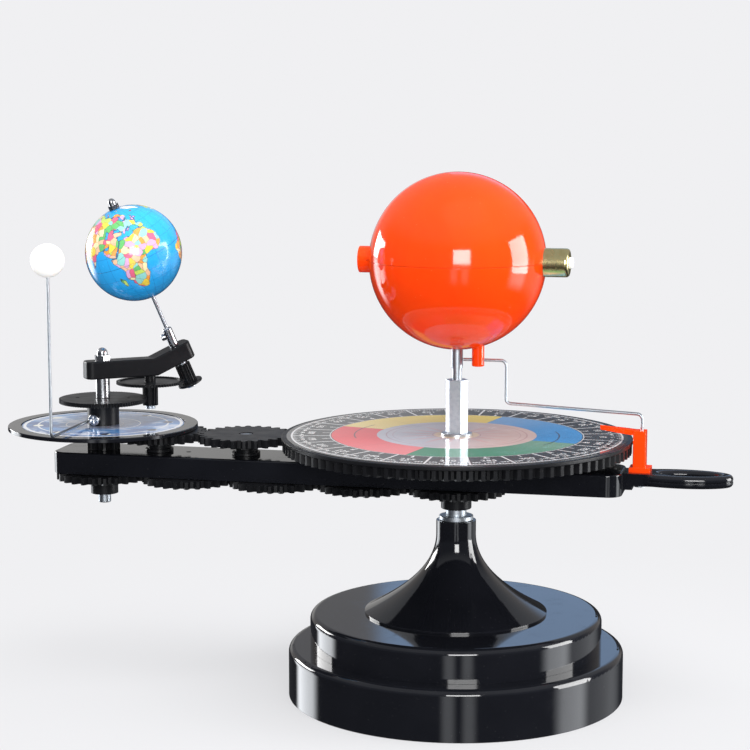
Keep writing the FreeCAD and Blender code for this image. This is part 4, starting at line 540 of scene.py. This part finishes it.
# ---------------------------------------------------------------------------------------------------
# The globe's map: outlines in degrees of (longitude, latitude)
# ---------------------------------------------------------------------------------------------------
LAND = {
    "africa": [
        (-6, 35.8), (-1, 35.7), (3, 36.9), (10, 37.3), (11, 34), (15, 32.4), (20, 30.8), (20, 32.7),
        (23, 32.6), (29, 31), (32.5, 31.2), (34, 27.5), (37, 22), (38.5, 18), (43, 12), (51, 11.8),
        (49, 6.5), (44, 1), (40, -3.5), (39, -7), (40.5, -11), (40, -16), (35, -20), (35.5, -24),
        (32.8, -26), (32, -29), (27, -33.6), (20, -34.8), (18, -33), (17, -29), (14.5, -23), (12, -17.5),
        (13.7, -11), (12, -5.5), (9, -1), (9.5, 4), (6, 4.4), (1.5, 6.2), (-4, 5.2), (-8, 4.4),
        (-13, 8.5), (-16.7, 12.5), (-17.3, 14.8), (-16, 19), (-17, 21.5), (-13, 27.8), (-9.8, 30), (-9, 32.6),
    ],
    "eurasia": [
        (-9, 37), (-9.3, 39), (-9, 43.2), (-2, 43.5), (-1.5, 46), (-4.5, 48.4), (-1.5, 49.6), (2.5, 51),
        (5, 53), (8.2, 54), (8.2, 57), (10.6, 57.6), (10.5, 54.5), (14, 54), (19, 54.5), (21.3, 57),
        (24, 58.5), (28, 59.8), (23, 60), (21.5, 62), (25.3, 65), (22, 65.7), (17.5, 62), (18.7, 60),
        (16.5, 57), (14, 55.5), (12.5, 56.3), (11, 59), (8, 58.1), (5.5, 59), (5, 62), (12, 66),
        (18, 69.5), (25.5, 71), (31, 70), (41, 67), (38, 66), (33, 66.7), (38, 64.3), (43, 66),
        (44.5, 68.2), (53, 68.5), (60, 68.7), (68, 68.5), (67, 72), (72, 73), (80, 72.5), (87, 75),
        (98, 76), (104, 77.6), (113, 74), (128, 72.5), (140, 72.5), (150, 71), (160, 69.7), (170, 69.5),
        (180, 68.8), (180, 65.5), (177, 62.5), (170, 60), (163, 59.5), (162, 56), (157, 51.2), (155.5, 56),
        (160, 61), (152, 59), (142, 59), (136, 54.8), (141, 52.5), (139.5, 47.5), (133, 43), (130, 42.5),
        (127.5, 39.5), (129.3, 36), (126.5, 34.5), (125, 38.5), (121.5, 39), (118, 39), (119, 37),
        (122.3, 37), (119.5, 35), (121.5, 31.5), (119.5, 26), (116, 23), (110.5, 21), (108, 21.5),
        (106, 19), (109, 14), (108, 11.3), (105, 9), (102, 12.5), (100.5, 13.3), (99.5, 9.5), (103.3, 4),
        (104, 1.4), (101, 3), (98.4, 8), (98.5, 14), (97, 17), (94.3, 16), (92, 22), (88, 21.8),
        (82, 16.5), (80, 13), (79.8, 10.3), (77.5, 8.1), (74.5, 14), (72.8, 19.5), (72, 21.5), (69, 22.4),
        (66.8, 25), (61, 25.2), (57, 26.8), (51, 28), (48.5, 30), (50, 26.5), (51.5, 24.5), (54.5, 24.2),
        (56.4, 26.2), (58.8, 23.5), (58, 20), (55, 17.3), (51, 15), (45, 12.9), (43, 13.5), (42.5, 17),
        (39, 21.5), (36.5, 26), (34.8, 28.5), (34.2, 31.2), (35.8, 35), (36, 36.7), (31, 36.5), (27.5, 37),
        (26.3, 39.5), (29, 40.9), (31.5, 41.3), (35, 42), (41, 41.5), (37.5, 44.7), (39.2, 47.2), (35, 46.3),
        (33.5, 44.5), (31, 46.5), (28.6, 43.8), (28, 41.8), (28.5, 41.1), (26.2, 40.7), (23.6, 40.3),
        (24, 38), (22.8, 36.5), (21.2, 38.2), (19.5, 41), (15, 44.3), (13.5, 45.5), (12.4, 44.5),
        (14, 42.4), (16, 41.8), (18.4, 40), (16.8, 39.5), (16, 38), (12.5, 41.5), (8.8, 44.3), (4, 43.4),
        (3, 41.8), (-0.3, 39.5), (-2, 36.8), (-5.5, 36.1),
    ],
    "chukotka": [(-180, 68.8), (-173, 67), (-170, 66), (-173, 64.3), (-180, 65.5)],
    "north_america": [
        (-168, 66), (-162, 66.5), (-164, 68), (-157, 71.2), (-141, 69.7), (-128, 70), (-115, 68.5),
        (-108, 68), (-96, 68), (-94, 71.5), (-88, 68.5), (-82, 69), (-86, 66), (-94, 61), (-94, 58.8),
        (-88, 56.5), (-82.5, 55), (-80, 51.5), (-78.8, 54), (-77, 58), (-78, 62.3), (-70, 61), (-65, 59.5),
        (-61, 56), (-56, 52), (-60, 50.2), (-66, 50), (-64.5, 48), (-61, 46), (-66, 43.7), (-70, 43),
        (-70, 41.8), (-74, 40.5), (-76, 37), (-76, 35), (-81, 31.5), (-80.3, 27), (-80.5, 25.2), (-82.7, 28),
        (-84, 30), (-89.5, 30), (-94, 29.5), (-97.3, 27.5), (-97.5, 22.5), (-95, 18.7), (-91, 18.6),
        (-90, 21), (-87, 21.5), (-88, 16), (-83.5, 15), (-83.5, 11), (-79.5, 9.3), (-77.5, 8.2),
        (-79.5, 7.5), (-83, 8.3), (-86, 11), (-88, 13), (-94, 16), (-98, 16.3), (-105, 19.5), (-105.5, 22),
        (-109, 25.5), (-112.5, 30), (-114.6, 31.5), (-111.5, 26), (-109.6, 23), (-112.3, 26), (-115, 29.5),
        (-117, 32.5), (-120.6, 34.5), (-124, 39), (-124.3, 43), (-124, 48), (-128, 51), (-131, 55),
        (-137, 58.5), (-145, 60.3), (-152, 59.5), (-158, 56.5), (-164, 54.7), (-158, 58.5), (-165, 61.5),
        (-161, 64.3),
    ],
    "south_america": [
        (-77.5, 8.2), (-75, 10.8), (-71.5, 12.3), (-64, 10.6), (-61, 9), (-52, 5), (-50, 0), (-44, -2.5),
        (-39, -3.3), (-35, -6), (-35, -9.5), (-38.7, -13), (-39.5, -19), (-42, -23), (-48, -26), (-51, -31.5),
        (-54, -34.7), (-58, -34.3), (-57, -38), (-62, -39), (-65, -43), (-67.5, -46), (-66, -48.5),
        (-69, -52), (-67, -55.3), (-73, -53.5), (-75.5, -48), (-73.5, -41), (-73.5, -36), (-71.3, -29),
        (-70.3, -18.5), (-76, -14), (-81, -5.5), (-80, -2.5), (-80, 1), (-77.3, 4), (-77.9, 7),
    ],
    "australia": [
        (114, -22), (114.5, -28), (115.5, -33.8), (118, -35), (124, -33.5), (131, -31.5), (135.5, -34.8),
        (138, -33), (140, -37.5), (144, -38.5), (147, -38.2), (150, -37.2), (152.8, -32), (153.3, -26),
        (149.5, -22), (146, -19), (145.3, -15), (142.5, -10.8), (141, -16.5), (139, -17.5), (135.6, -15),
        (136.8, -12.2), (132.5, -11.5), (129.5, -15), (126, -14), (122.3, -17.8),
    ],
    "madagascar": [(49.3, -12), (50.4, -15.7), (47, -25), (44, -24.5), (44, -17)],
    "britain": [
        (-5.5, 50.1), (1.3, 51.2), (0, 53.5), (-2, 57.5), (-5, 58.6), (-5.5, 56), (-3, 54), (-4.8, 52),
    ],
    "ireland": [(-10, 51.8), (-6.3, 52.3), (-6, 54.5), (-8, 55.2), (-10, 54)],
    "iceland": [(-24, 65.5), (-19, 66.3), (-13.8, 65), (-18.5, 63.4), (-22.5, 63.9)],
    "japan": [
        (130.5, 31.3), (135.5, 33.6), (140.5, 35.3), (141.8, 39.5), (145, 43.5), (141.8, 45.3), (140, 41.5),
        (139, 38), (133, 35.5), (130.3, 33.5),
    ],
    "sumatra": [(95.4, 5.6), (104, -2), (105.8, -5.8), (102, -4), (98.5, 1.7)],
    "java": [(105.3, -6.7), (114.4, -7.7), (114.3, -8.7), (106.5, -7.4)],
    "borneo": [(109, 1.5), (111.5, 2.5), (117, 7), (119, 5), (117.5, 1), (116, -4), (111, -3)],
    "sulawesi": [(119.5, -5.5), (119.3, 0.5), (124.8, 1.5), (121, -1), (123, -4.5), (121, -3)],
    "new_guinea": [
        (131, -0.8), (138, -1.7), (146, -5.5), (150.5, -10.5), (144, -7.8), (138.5, -8.2), (132.5, -3.8),
    ],
    "philippines": [
        (120.3, 16), (120.8, 18.5), (122.3, 18), (124, 12.5), (126.5, 8), (124, 6.5), (122, 8), (121, 13.5),
    ],
    "new_zealand": [
        (172.8, -34.6), (178.4, -37.8), (174.5, -41.3), (171, -45.7), (168.5, -46.6), (166.6, -45.8),
        (172, -41), (174.5, -38.5),
    ],
    "sri_lanka": [(80, 9.6), (81.8, 7), (80.2, 6)],
    "cuba": [(-84.8, 22), (-80, 23.1), (-74.3, 20.2), (-78, 20)],
    "hispaniola": [(-74.3, 18.5), (-72.5, 19.9), (-68.5, 18.5)],
    "baffin": [
        (-66, 61.9), (-62, 66.5), (-70, 70.5), (-80, 73.7), (-88, 73.2), (-80, 69.6), (-73, 67), (-78, 64.5),
    ],
    "victoria": [(-117, 69.3), (-103, 69), (-106, 73), (-118, 72.5)],
    "svalbard": [(11, 79.5), (17, 76.7), (27, 80)],
    "novaya": [(52, 71), (58, 70.7), (68, 76.8), (60, 76)],
    "tasmania": [(144.8, -40.8), (148.2, -40.9), (147, -43.5)],
}
ICE = {
    "greenland": [
        (-45, 60), (-53, 66), (-55, 70), (-60, 75.5), (-72, 78), (-60, 82), (-35, 83.4), (-20, 81),
        (-20, 75), (-24, 70.5), (-33, 68), (-40, 65),
    ],
    "ellesmere": [(-90, 76.5), (-77, 77), (-66, 81), (-75, 83), (-92, 81.5)],
    "antarctica": [
        (-180, -78), (-160, -77.5), (-145, -75.5), (-110, -74.5), (-75, -73.5), (-62, -65), (-57, -63.5),
        (-60, -74), (-35, -78), (-15, -72), (0, -70), (30, -69.5), (55, -66.5), (80, -68), (95, -66.5),
        (120, -67), (140, -66.5), (165, -70.5), (165, -77.5), (180, -78), (180, -86), (-180, -86),
    ],
}
LAKES = {
    "caspian": [(47, 44), (49, 46.5), (53, 46.5), (52, 42), (54, 39), (53.5, 37), (50, 37.5), (49.3, 40.5)],
}

SEA, SOIL, SNOW = 0, 1, 2
COAST_STEP = 1.6
COAST_WOBBLE = 0.34
GRID_STEP = 2.5
MAP_EDGE = 86.0


def counterclockwise(outline):
    doubled = sum(a[0] * b[1] - b[0] * a[1] for a, b in zip(outline, outline[1:] + outline[:1]))
    return outline if doubled > 0 else outline[::-1]


def crinkled(outline, dice):
    """The outline with its runs split and nudged, as a real coast is."""
    points = []
    for first, second in zip(outline, outline[1:] + outline[:1]):
        run = (Vector(second) - Vector(first)).to_2d()
        on_border = abs(first[0]) == 180 and abs(second[0]) == 180 or abs(first[1]) == MAP_EDGE
        count = 1 if on_border else max(1, round(run.length / COAST_STEP))
        across = Vector((-run.y, run.x)).normalized()
        for index in range(count):
            spot = Vector(first) + run * (index / count)
            if index:
                spot += across * dice.uniform(-COAST_WOBBLE, COAST_WOBBLE)
            points.append((spot.x, spot.y))
    return points


def map_mesh():
    """(points in degrees, triangles, kind of each triangle, coast runs) over the flat map."""
    dice = random.Random(7)
    points, faces, kinds, coast = [], [], [], []
    for kind, group in ((SOIL, LAND), (SNOW, ICE), (SEA, LAKES)):
        for outline in group.values():
            shore = crinkled(counterclockwise(outline), dice)
            start = len(points)
            points += shore
            faces.append(list(range(start, len(points))))
            kinds.append(kind)
            for first, second in zip(shore, shore[1:] + shore[:1]):
                if abs(first[0]) < 180 or abs(second[0]) < 180:
                    coast.append((first, second))
    across = round(360 / GRID_STEP)
    rows = round(2 * MAP_EDGE / GRID_STEP)
    for row in range(rows + 1):
        latitude = -MAP_EDGE + 2 * MAP_EDGE * row / rows
        for column in range(across + 1):
            points.append((-180 + 360 * column / across, latitude))
    made = delaunay_2d_cdt([Vector(p) for p in points], [], faces, 0, 1e-4)
    triangles, found = made[2], []
    for owners in made[5]:
        inside = [kinds[owner] for owner in owners]
        found.append(SEA if not inside or SEA in inside else inside[-1])
    return [(p.x, p.y) for p in made[0]], triangles, found, coast


def shore_distance(points, coast):
    """How far each map point is from the nearest coast, in degrees of arc."""
    spots = np.array(points)
    starts = np.array([run[0] for run in coast])
    ends = np.array([run[1] for run in coast])
    nearest = np.full(len(spots), 1e9)
    squeeze = np.cos(np.radians(spots[:, 1]))
    for start, end in zip(starts, ends):
        run = end - start
        offset = spots - start
        length = (run[0] * squeeze) ** 2 + run[1] ** 2
        share = (offset[:, 0] * run[0] * squeeze**2 + offset[:, 1] * run[1]) / length
        share = np.clip(share, 0, 1)
        gap = offset - share[:, None] * run
        nearest = np.minimum(nearest, np.hypot(gap[:, 0] * squeeze, gap[:, 1]))
    return nearest


def globe_colours(f, spot):
    """Coloured patches that stand for countries, with thin borders. They follow no real border."""
    wander = f.noise(spot, 5.0, 3.0)["Color"]
    spot = f.vector("ADD", spot, f.scaled(f.vector("SUBTRACT", wander, (0.5, 0.5, 0.5)), 0.09))
    cells = f.add("TexVoronoi", {"Vector": spot, "Scale": 7.0}).outputs
    pick = f.split(cells["Color"])[0]
    palette = (
        (0.92, 0.68, 0.06), (0.13, 0.52, 0.15), (0.82, 0.13, 0.25), (0.93, 0.36, 0.05), (0.9, 0.55, 0.34),
        (0.3, 0.72, 0.66), (0.76, 0.42, 0.7), (0.55, 0.75, 0.12), (0.93, 0.8, 0.45),
    )
    colour = palette[0]
    for index, tint in enumerate(palette[1:], start=1):
        colour = f.mix(f.math("GREATER_THAN", pick, index / len(palette)), colour, tint)
    rim = f.add("TexVoronoi", {"Vector": spot, "Scale": 7.0}, feature="DISTANCE_TO_EDGE").outputs["Distance"]
    return f.mix(f.math("MULTIPLY", f.smooth(rim, 0.035, 0.012), 0.7), colour, (0.12, 0.06, 0.05))


def globe_finish(name, kind):
    """One ink of the globe: sea, countries or ice, with the map grid and a clear lacquer over it."""
    f = Finish(name)
    spot = f.add("Attribute", attribute_name="map_place").outputs["Vector"]
    shore = f.add("Attribute", attribute_name="shore").outputs["Fac"]
    x, y, z = f.split(spot)
    latitude = f.math("MULTIPLY", f.math("ARCSINE", z), 12 / math.pi)
    longitude = f.math("MULTIPLY", f.math("ARCTAN2", y, x), 12 / math.pi)
    flatness = f.math("SQRT", f.math("SUBTRACT", 1.0, f.math("MULTIPLY", z, z)))
    parallel = f.math("ABSOLUTE", f.math("SUBTRACT", latitude, f.math("ROUND", latitude)))
    meridian = f.math("ABSOLUTE", f.math("SUBTRACT", longitude, f.math("ROUND", longitude)))
    meridian = f.math("MULTIPLY", meridian, flatness)
    lines = f.smooth(f.math("MINIMUM", parallel, meridian), 0.024, 0.012)
    depth = f.noise(spot, 2.2, 5.0, 0.6, 0.5)["Fac"]
    if kind == SEA:
        colour = f.mix(depth, (0.003, 0.34, 0.84), (0.008, 0.47, 0.98))
        colour = f.mix(f.math("MULTIPLY", f.smooth(shore, 2.2, 0.2), 0.35), colour, (0.06, 0.5, 0.95))
        colour = f.mix(f.math("MULTIPLY", lines, 0.5), colour, (0.002, 0.11, 0.42))
    elif kind == SOIL:
        colour = globe_colours(f, spot)
        colour = f.mix(f.math("MULTIPLY", lines, 0.2), colour, (0.1, 0.1, 0.1))
    else:
        colour = f.mix(depth, (0.74, 0.82, 0.88), (0.9, 0.92, 0.94))
        colour = f.mix(f.math("MULTIPLY", lines, 0.3), colour, (0.2, 0.4, 0.6))
    colour = f.mix(f.math("MULTIPLY", f.smooth(shore, 0.42, 0.2), 0.75), colour, (0.03, 0.045, 0.08))
    grain = f.noise(spot, 150.0, 3.0)["Fac"]
    colour = f.mix(f.math("MULTIPLY", grain, 0.07), colour, (0.5, 0.5, 0.5))
    seam = f.smooth(f.math("ABSOLUTE", z), 0.006, 0.002)
    colour = f.mix(f.math("MULTIPLY", seam, 0.5), colour, (0.01, 0.08, 0.2))
    wear = f.noise(spot, 9.0, 5.0)["Fac"]
    f.raise_by(f.math("SUBTRACT", 1.0, seam), 0.12)
    f.raise_by(f.noise(spot, 12.0, 2.0)["Fac"], 0.05, 0.4)
    f.set(colour=colour, rough=f.blend(wear, 0.16, 0.34), coat=0.85, coat_rough=0.05)
    return f.done()


def axis_frame(body_joint, centre, facing):
    """Local to row frame: +Z along the joint's axis, +X turned towards a direction."""
    up = Vector(body_joint["axis"]).normalized()
    ahead = (facing - up * facing.dot(up)).normalized()
    return Matrix.Translation(centre) @ Matrix((ahead, up.cross(ahead), up)).transposed().to_4x4()


# East runs to the left as seen from outside, as on the printed ball that this one follows.
EAST = -1
LONGITUDE_IN_FRONT = 26.5


def make_globe(towards_camera):
    joint = next(j for j in frame["joints"] if j["name"] == "earth_spin")
    north_low, north_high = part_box("globe_north")
    south_low, south_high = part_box("globe_south")
    low = Vector(map(min, north_low, south_low))
    high = Vector(map(max, north_high, south_high))
    centre = (low + high) / 2
    radius = (high - low).x / 2
    points, triangles, kinds, coast = map_mesh()
    shore = shore_distance(points, coast)
    place = axis_frame(joint, centre, towards_camera)

    def on_ball(longitude, latitude):
        turn = math.radians(longitude - LONGITUDE_IN_FRONT) * EAST
        flat = math.cos(math.radians(latitude))
        return Vector((flat * math.cos(turn), flat * math.sin(turn), math.sin(math.radians(latitude))))

    spots = [on_ball(*point) for point in points]
    shades = list(shore)
    edge_rows = {side: [] for side in (-1, 1)}
    for index, point in enumerate(points):
        if abs(abs(point[1]) - MAP_EDGE) < 1e-3:
            edge_rows[1 if point[1] > 0 else -1].append((point[0], index))
    faces = [tuple(triangle) for triangle in triangles]
    for side, row in edge_rows.items():
        pole = len(spots)
        spots.append(Vector((0, 0, side)))
        shades.append(9.0)
        row.sort()
        for (_, first), (_, second) in zip(row, row[1:]):
            faces.append((pole, first, second))
            kinds.append(SEA if side > 0 else SNOW)
    mesh = bpy.data.meshes.new("globe_map")
    mesh.from_pydata([place @ (spot * radius) for spot in spots], [], faces)
    for polygon, kind in zip(mesh.polygons, kinds):
        polygon.material_index = kind
        polygon.use_smooth = True
    around = mesh.attributes.new("map_place", "FLOAT_VECTOR", "POINT")
    around.data.foreach_set("vector", [value for spot in spots for value in spot])
    near = mesh.attributes.new("shore", "FLOAT", "POINT")
    near.data.foreach_set("value", shades)
    cleaner = bmesh.new()
    cleaner.from_mesh(mesh)
    bmesh.ops.remove_doubles(cleaner, verts=cleaner.verts, dist=1e-6)
    bmesh.ops.recalc_face_normals(cleaner, faces=cleaner.faces)
    cleaner.to_mesh(mesh)
    cleaner.free()
    for name, kind in (("globe_sea", SEA), ("globe_land", SOIL), ("globe_ice", SNOW)):
        mesh.materials.append(globe_finish(name, kind))
    outward = [(vertex.co - centre).normalized() for vertex in mesh.vertices]
    mesh.normals_split_custom_set_from_vertices(outward)
    globe = bpy.data.objects.new("printed_globe", mesh)
    bpy.context.scene.collection.objects.link(globe)
    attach(globe, "earth")
    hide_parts("globe_north", "globe_south")


# ---------------------------------------------------------------------------------------------------
# Raised ink: generic numbers round the dial
# ---------------------------------------------------------------------------------------------------
INK_HEIGHT = 0.03 * MM


def ink_white():
    f = Finish("ink_white")
    place = f.place_mm()
    patch = f.noise(place, 1.6, 5.0)["Fac"]
    worn = f.smooth(patch, 0.58, 0.74)
    colour = f.mix(f.math("MULTIPLY", worn, 0.4), (0.84, 0.84, 0.84), (0.3, 0.3, 0.31))
    f.raise_by(patch, 0.004, 0.5)
    f.set(colour=colour, rough=f.blend(patch, 0.12, 0.3), coat=0.8, coat_rough=0.05)
    return f.done()


def number_mesh(text, size):
    curve = bpy.data.curves.new("number", "FONT")
    curve.body = text
    curve.size = size
    curve.align_x = "CENTER"
    curve.align_y = "CENTER"
    curve.extrude = INK_HEIGHT / 2
    curve.resolution_u = 3
    maker = bpy.data.objects.new("number", curve)
    bpy.context.scene.collection.objects.link(maker)
    bpy.context.view_layer.update()
    mesh = bpy.data.meshes.new_from_object(maker.evaluated_get(bpy.context.evaluated_depsgraph_get()))
    bpy.data.objects.remove(maker)
    bpy.data.curves.remove(curve)
    return mesh


def make_dial_numbers():
    """Degrees in two rows of the divided ring, and month numbers beside the season band."""
    low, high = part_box("season_dial_sheet")
    collected = bmesh.new()
    rows = (
        (24, 91.6 * MM, 6.6 * MM, [str(15 * k) for k in range(24)], math.pi / 24),
        (12, 84.0 * MM, 4.6 * MM, [str(k + 1) for k in range(12)], math.pi / 12 + math.pi / 24),
        (72, 97.2 * MM, 3.6 * MM, [str(5 * k) for k in range(72)], math.pi / 72),
    )
    for count, radius, size, texts, first in rows:
        for index, text in enumerate(texts):
            mesh = number_mesh(text, size)
            angle = first + math.tau * index / count
            spot = Vector((radius * math.cos(angle), radius * math.sin(angle), high.z + INK_HEIGHT * 0.6))
            mesh.transform(Matrix.Translation(spot) @ Matrix.Rotation(angle + math.pi / 2, 4, "Z"))
            collected.from_mesh(mesh)
            bpy.data.meshes.remove(mesh)
    mesh = bpy.data.meshes.new("dial_numbers")
    collected.to_mesh(mesh)
    collected.free()
    mesh.materials.append(ink_white())
    numbers = bpy.data.objects.new("dial_numbers", mesh)
    bpy.context.scene.collection.objects.link(numbers)
    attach(numbers, "stand")


# ---------------------------------------------------------------------------------------------------
# Studio: camera, floor, world and lights
# ---------------------------------------------------------------------------------------------------
CAMERA_PLACE = Vector((0.2329, -1.2419, 0.3789))
CAMERA_AZIMUTH = math.radians(12.94)
CAMERA_PITCH = math.radians(7.92)
CAMERA_LENS = 98.1
BACKGROUND = (0.871, 0.871, 0.888)


def make_camera():
    data = bpy.data.cameras.new("photo_camera")
    data.lens = CAMERA_LENS
    data.sensor_width = 36.0
    data.clip_start = 0.05
    camera = bpy.data.objects.new("photo_camera", data)
    camera.location = CAMERA_PLACE
    camera.rotation_euler = (math.pi / 2 - CAMERA_PITCH, 0, CAMERA_AZIMUTH)
    bpy.context.scene.collection.objects.link(camera)
    bpy.context.scene.camera = camera


def round_direction(azimuth, elevation):
    """Unit vector from the object, azimuth measured from the camera's side towards the right of the view."""
    towards = Vector((math.sin(CAMERA_AZIMUTH), -math.cos(CAMERA_AZIMUTH), 0))
    right = Vector((math.cos(CAMERA_AZIMUTH), math.sin(CAMERA_AZIMUTH), 0))
    a, e = math.radians(azimuth), math.radians(elevation)
    return (towards * math.cos(a) + right * math.sin(a)) * math.cos(e) + Vector((0, 0, math.sin(e)))


WINDOWS = (
    # name, azimuth and elevation in degrees, distance, width and height in metres, radiance
    ("right_window", 85, 6, 1.7, 0.85, 1.0, 10.5),
    ("left_window", -127, 6, 1.8, 0.85, 0.4, 14.0),
    ("front_window", 3, 10, 2.4, 0.9, 0.74, 15.0),
    ("overhead", 20, 68, 1.8, 1.6, 1.2, 5.5),
)
WINDOW_AIM = Vector((0, 0, 0.25))


def add_window(name, azimuth, elevation, distance, width, height, radiance):
    """A soft rectangular light that faces the object."""
    data = bpy.data.lights.new(name, "AREA")
    data.shape = "RECTANGLE"
    data.size = width
    data.size_y = height
    data.energy = radiance * math.pi * width * height
    lamp = bpy.data.objects.new(name, data)
    direction = round_direction(azimuth, elevation)
    lamp.location = WINDOW_AIM + direction * distance
    lamp.rotation_euler = direction.to_track_quat("Z", "Y").to_euler()
    lamp.visible_camera = False
    bpy.context.scene.collection.objects.link(lamp)
    return lamp


def make_lights():
    """Three windows that shiny surfaces mirror, and a soft light overhead that they don't."""
    lamps = [add_window(*window) for window in WINDOWS]
    lamps[-1].visible_glossy = False


STRIPES = (
    # from azimuth, to azimuth, softness in degrees, radiance
    (-140, -113, 5.0, 4.6),
    (-11, -3, 3.0, 1.2),
    (3, 11, 3.0, 1.2),
    (71, 96, 6.0, 2.6),
    (80, 140, 14.0, 0.5),
)


def make_world():
    """Pale to the camera, and even to matt surfaces.

    To shiny surfaces it is a dim room with a pale far wall, and with the windows' light below the horizon.
    """
    world = bpy.data.worlds.new("studio")
    world.use_nodes = True
    bpy.context.scene.world = world
    w = Tree(world.node_tree)
    direction = w.add("TexCoord").outputs["Generated"]
    height = w.split(direction)[2]
    right = w.vector("DOT_PRODUCT", direction, tuple(round_direction(90, 0)))
    front = w.vector("DOT_PRODUCT", direction, tuple(round_direction(0, 0)))
    azimuth = w.math("DEGREES", w.math("ARCTAN2", right, front))

    level = w.math("MULTIPLY_ADD", w.smooth(right, 0.09, -0.05), 0.46, 0.04)
    level = w.math("MULTIPLY_ADD", w.smooth(right, -0.03, -0.12), 0.06, level)
    wall = w.mix(level, (0.0, 0.0, 0.0), (1.0, 0.99, 0.98))
    upper_wall = w.mix(w.smooth(right, -0.004, 0.008), (0.3, 0.3, 0.315), (0.46, 0.66, 1.0))
    far_wall = w.mix(w.smooth(height, 0.195, 0.222), wall, upper_wall)
    aside = w.math("ABSOLUTE", azimuth)
    wall = w.mix(w.smooth(aside, 150, 163), (0.36, 0.34, 0.33), far_wall)
    wall = w.mix(w.smooth(aside, 112, 140), (0.09, 0.097, 0.115), wall)
    room = w.mix(w.smooth(height, 0.28, 0.6), wall, (0.33, 0.34, 0.36))

    stripes = 0.0
    for low, high, soft, radiance in STRIPES:
        rise = w.smooth(azimuth, low - soft, low + soft)
        fall = w.smooth(azimuth, high + soft, high - soft)
        stripes = w.math("MULTIPLY_ADD", w.math("MULTIPLY", rise, fall), radiance, stripes)
    stripes = w.math("MULTIPLY", stripes, w.smooth(height, -0.5, -0.3))
    red, green = (w.math("MULTIPLY", stripes, share) for share in (0.93, 0.96))
    lit = w.add("CombineColor", {0: red, 1: green, 2: stripes}).outputs[0]
    table = w.mix(1.0, (0.035, 0.037, 0.043), lit, "ADD")
    room = w.mix(w.smooth(height, -0.06, 0.0), table, room)

    below = w.mix(w.smooth(height, -0.25, 0.1), (0.5, 0.5, 0.51), (0.88, 0.89, 0.91))
    rays = w.add("LightPath").outputs
    seen = w.mix(rays["Is Diffuse Ray"], room, below)
    seen = w.mix(rays["Is Camera Ray"], seen, BACKGROUND)
    backdrop = w.add("Background", {"Color": seen, "Strength": 1.0})
    w.add("OutputWorld", {"Surface": backdrop.outputs[0]})


FLOOR_RADIUS = 30.0
FLOOR_GAP = 0.2 * MM


def make_floor():
    """A wide round floor that gives off the background's colour, in part below the object and fully far out."""
    f = Finish("studio_floor")
    place = f.add("TexCoord").outputs["Object"]
    colour = f.mix(f.noise(place, 3.0)["Fac"], (0.5, 0.5, 0.51), (0.52, 0.52, 0.53))
    f.set(colour=colour, rough=0.9, specular=0.1)
    glow = f.add("Emission", {"Color": BACKGROUND})
    far = f.blend(f.smooth(f.vector("LENGTH", place), 0.1, 0.5), 0.6, 1.0)
    blend = f.add("MixShader", {0: far, 1: f.surface.outputs[0], 2: glow.outputs[0]})
    f.put(f.output.inputs["Surface"], blend.outputs[0])
    mesh = bpy.data.meshes.new("studio_floor")
    disc = bmesh.new()
    bmesh.ops.create_circle(disc, cap_ends=True, segments=96, radius=FLOOR_RADIUS)
    disc.to_mesh(mesh)
    disc.free()
    mesh.materials.append(f.done())
    floor = bpy.data.objects.new("studio_floor", mesh)
    floor.location.z = cad_box[0].z - FLOOR_GAP
    floor.visible_glossy = False
    floor.visible_diffuse = False
    bpy.context.scene.collection.objects.link(floor)


# ---------------------------------------------------------------------------------------------------
# Put it together
# ---------------------------------------------------------------------------------------------------
FINISHES = {
    "black_gloss": black_gloss,
    "black_satin": black_satin,
    "sun_orange": lambda: orange_gloss("sun_orange", 0.1),
    "post_orange": lambda: orange_gloss("post_orange", 0.05),
    "zinc_steel": zinc_steel,
    "chrome": chrome,
    "brass": brass,
    "ballast_iron": ballast_iron,
    "dial_print": dial_print,
    "moon_print": moon_print,
    "moon_white": moon_white,
    "lens_clear": lens_clear,
    "lamp_white": lamp_white,
    "cell_wrap": cell_wrap,
    "button_white": button_white,
}


def finish_nodes():
    """Give every CAD node the finish of its material slot."""
    made = {name: build() for name, build in FINISHES.items()}
    for part in frame["record"]["subparts"]:
        if part["material_slot"] not in made:
            continue
        mesh = frame["nodes"][part["node"]].data
        mesh.materials.clear()
        mesh.materials.append(made[part["material_slot"]])


finish_nodes()
make_camera()
make_globe(round_direction(0, 8))
make_dial_numbers()
make_floor()
make_world()
make_lights()
bpy.context.scene.view_settings.view_transform = "Standard"
bpy.context.view_layer.update()
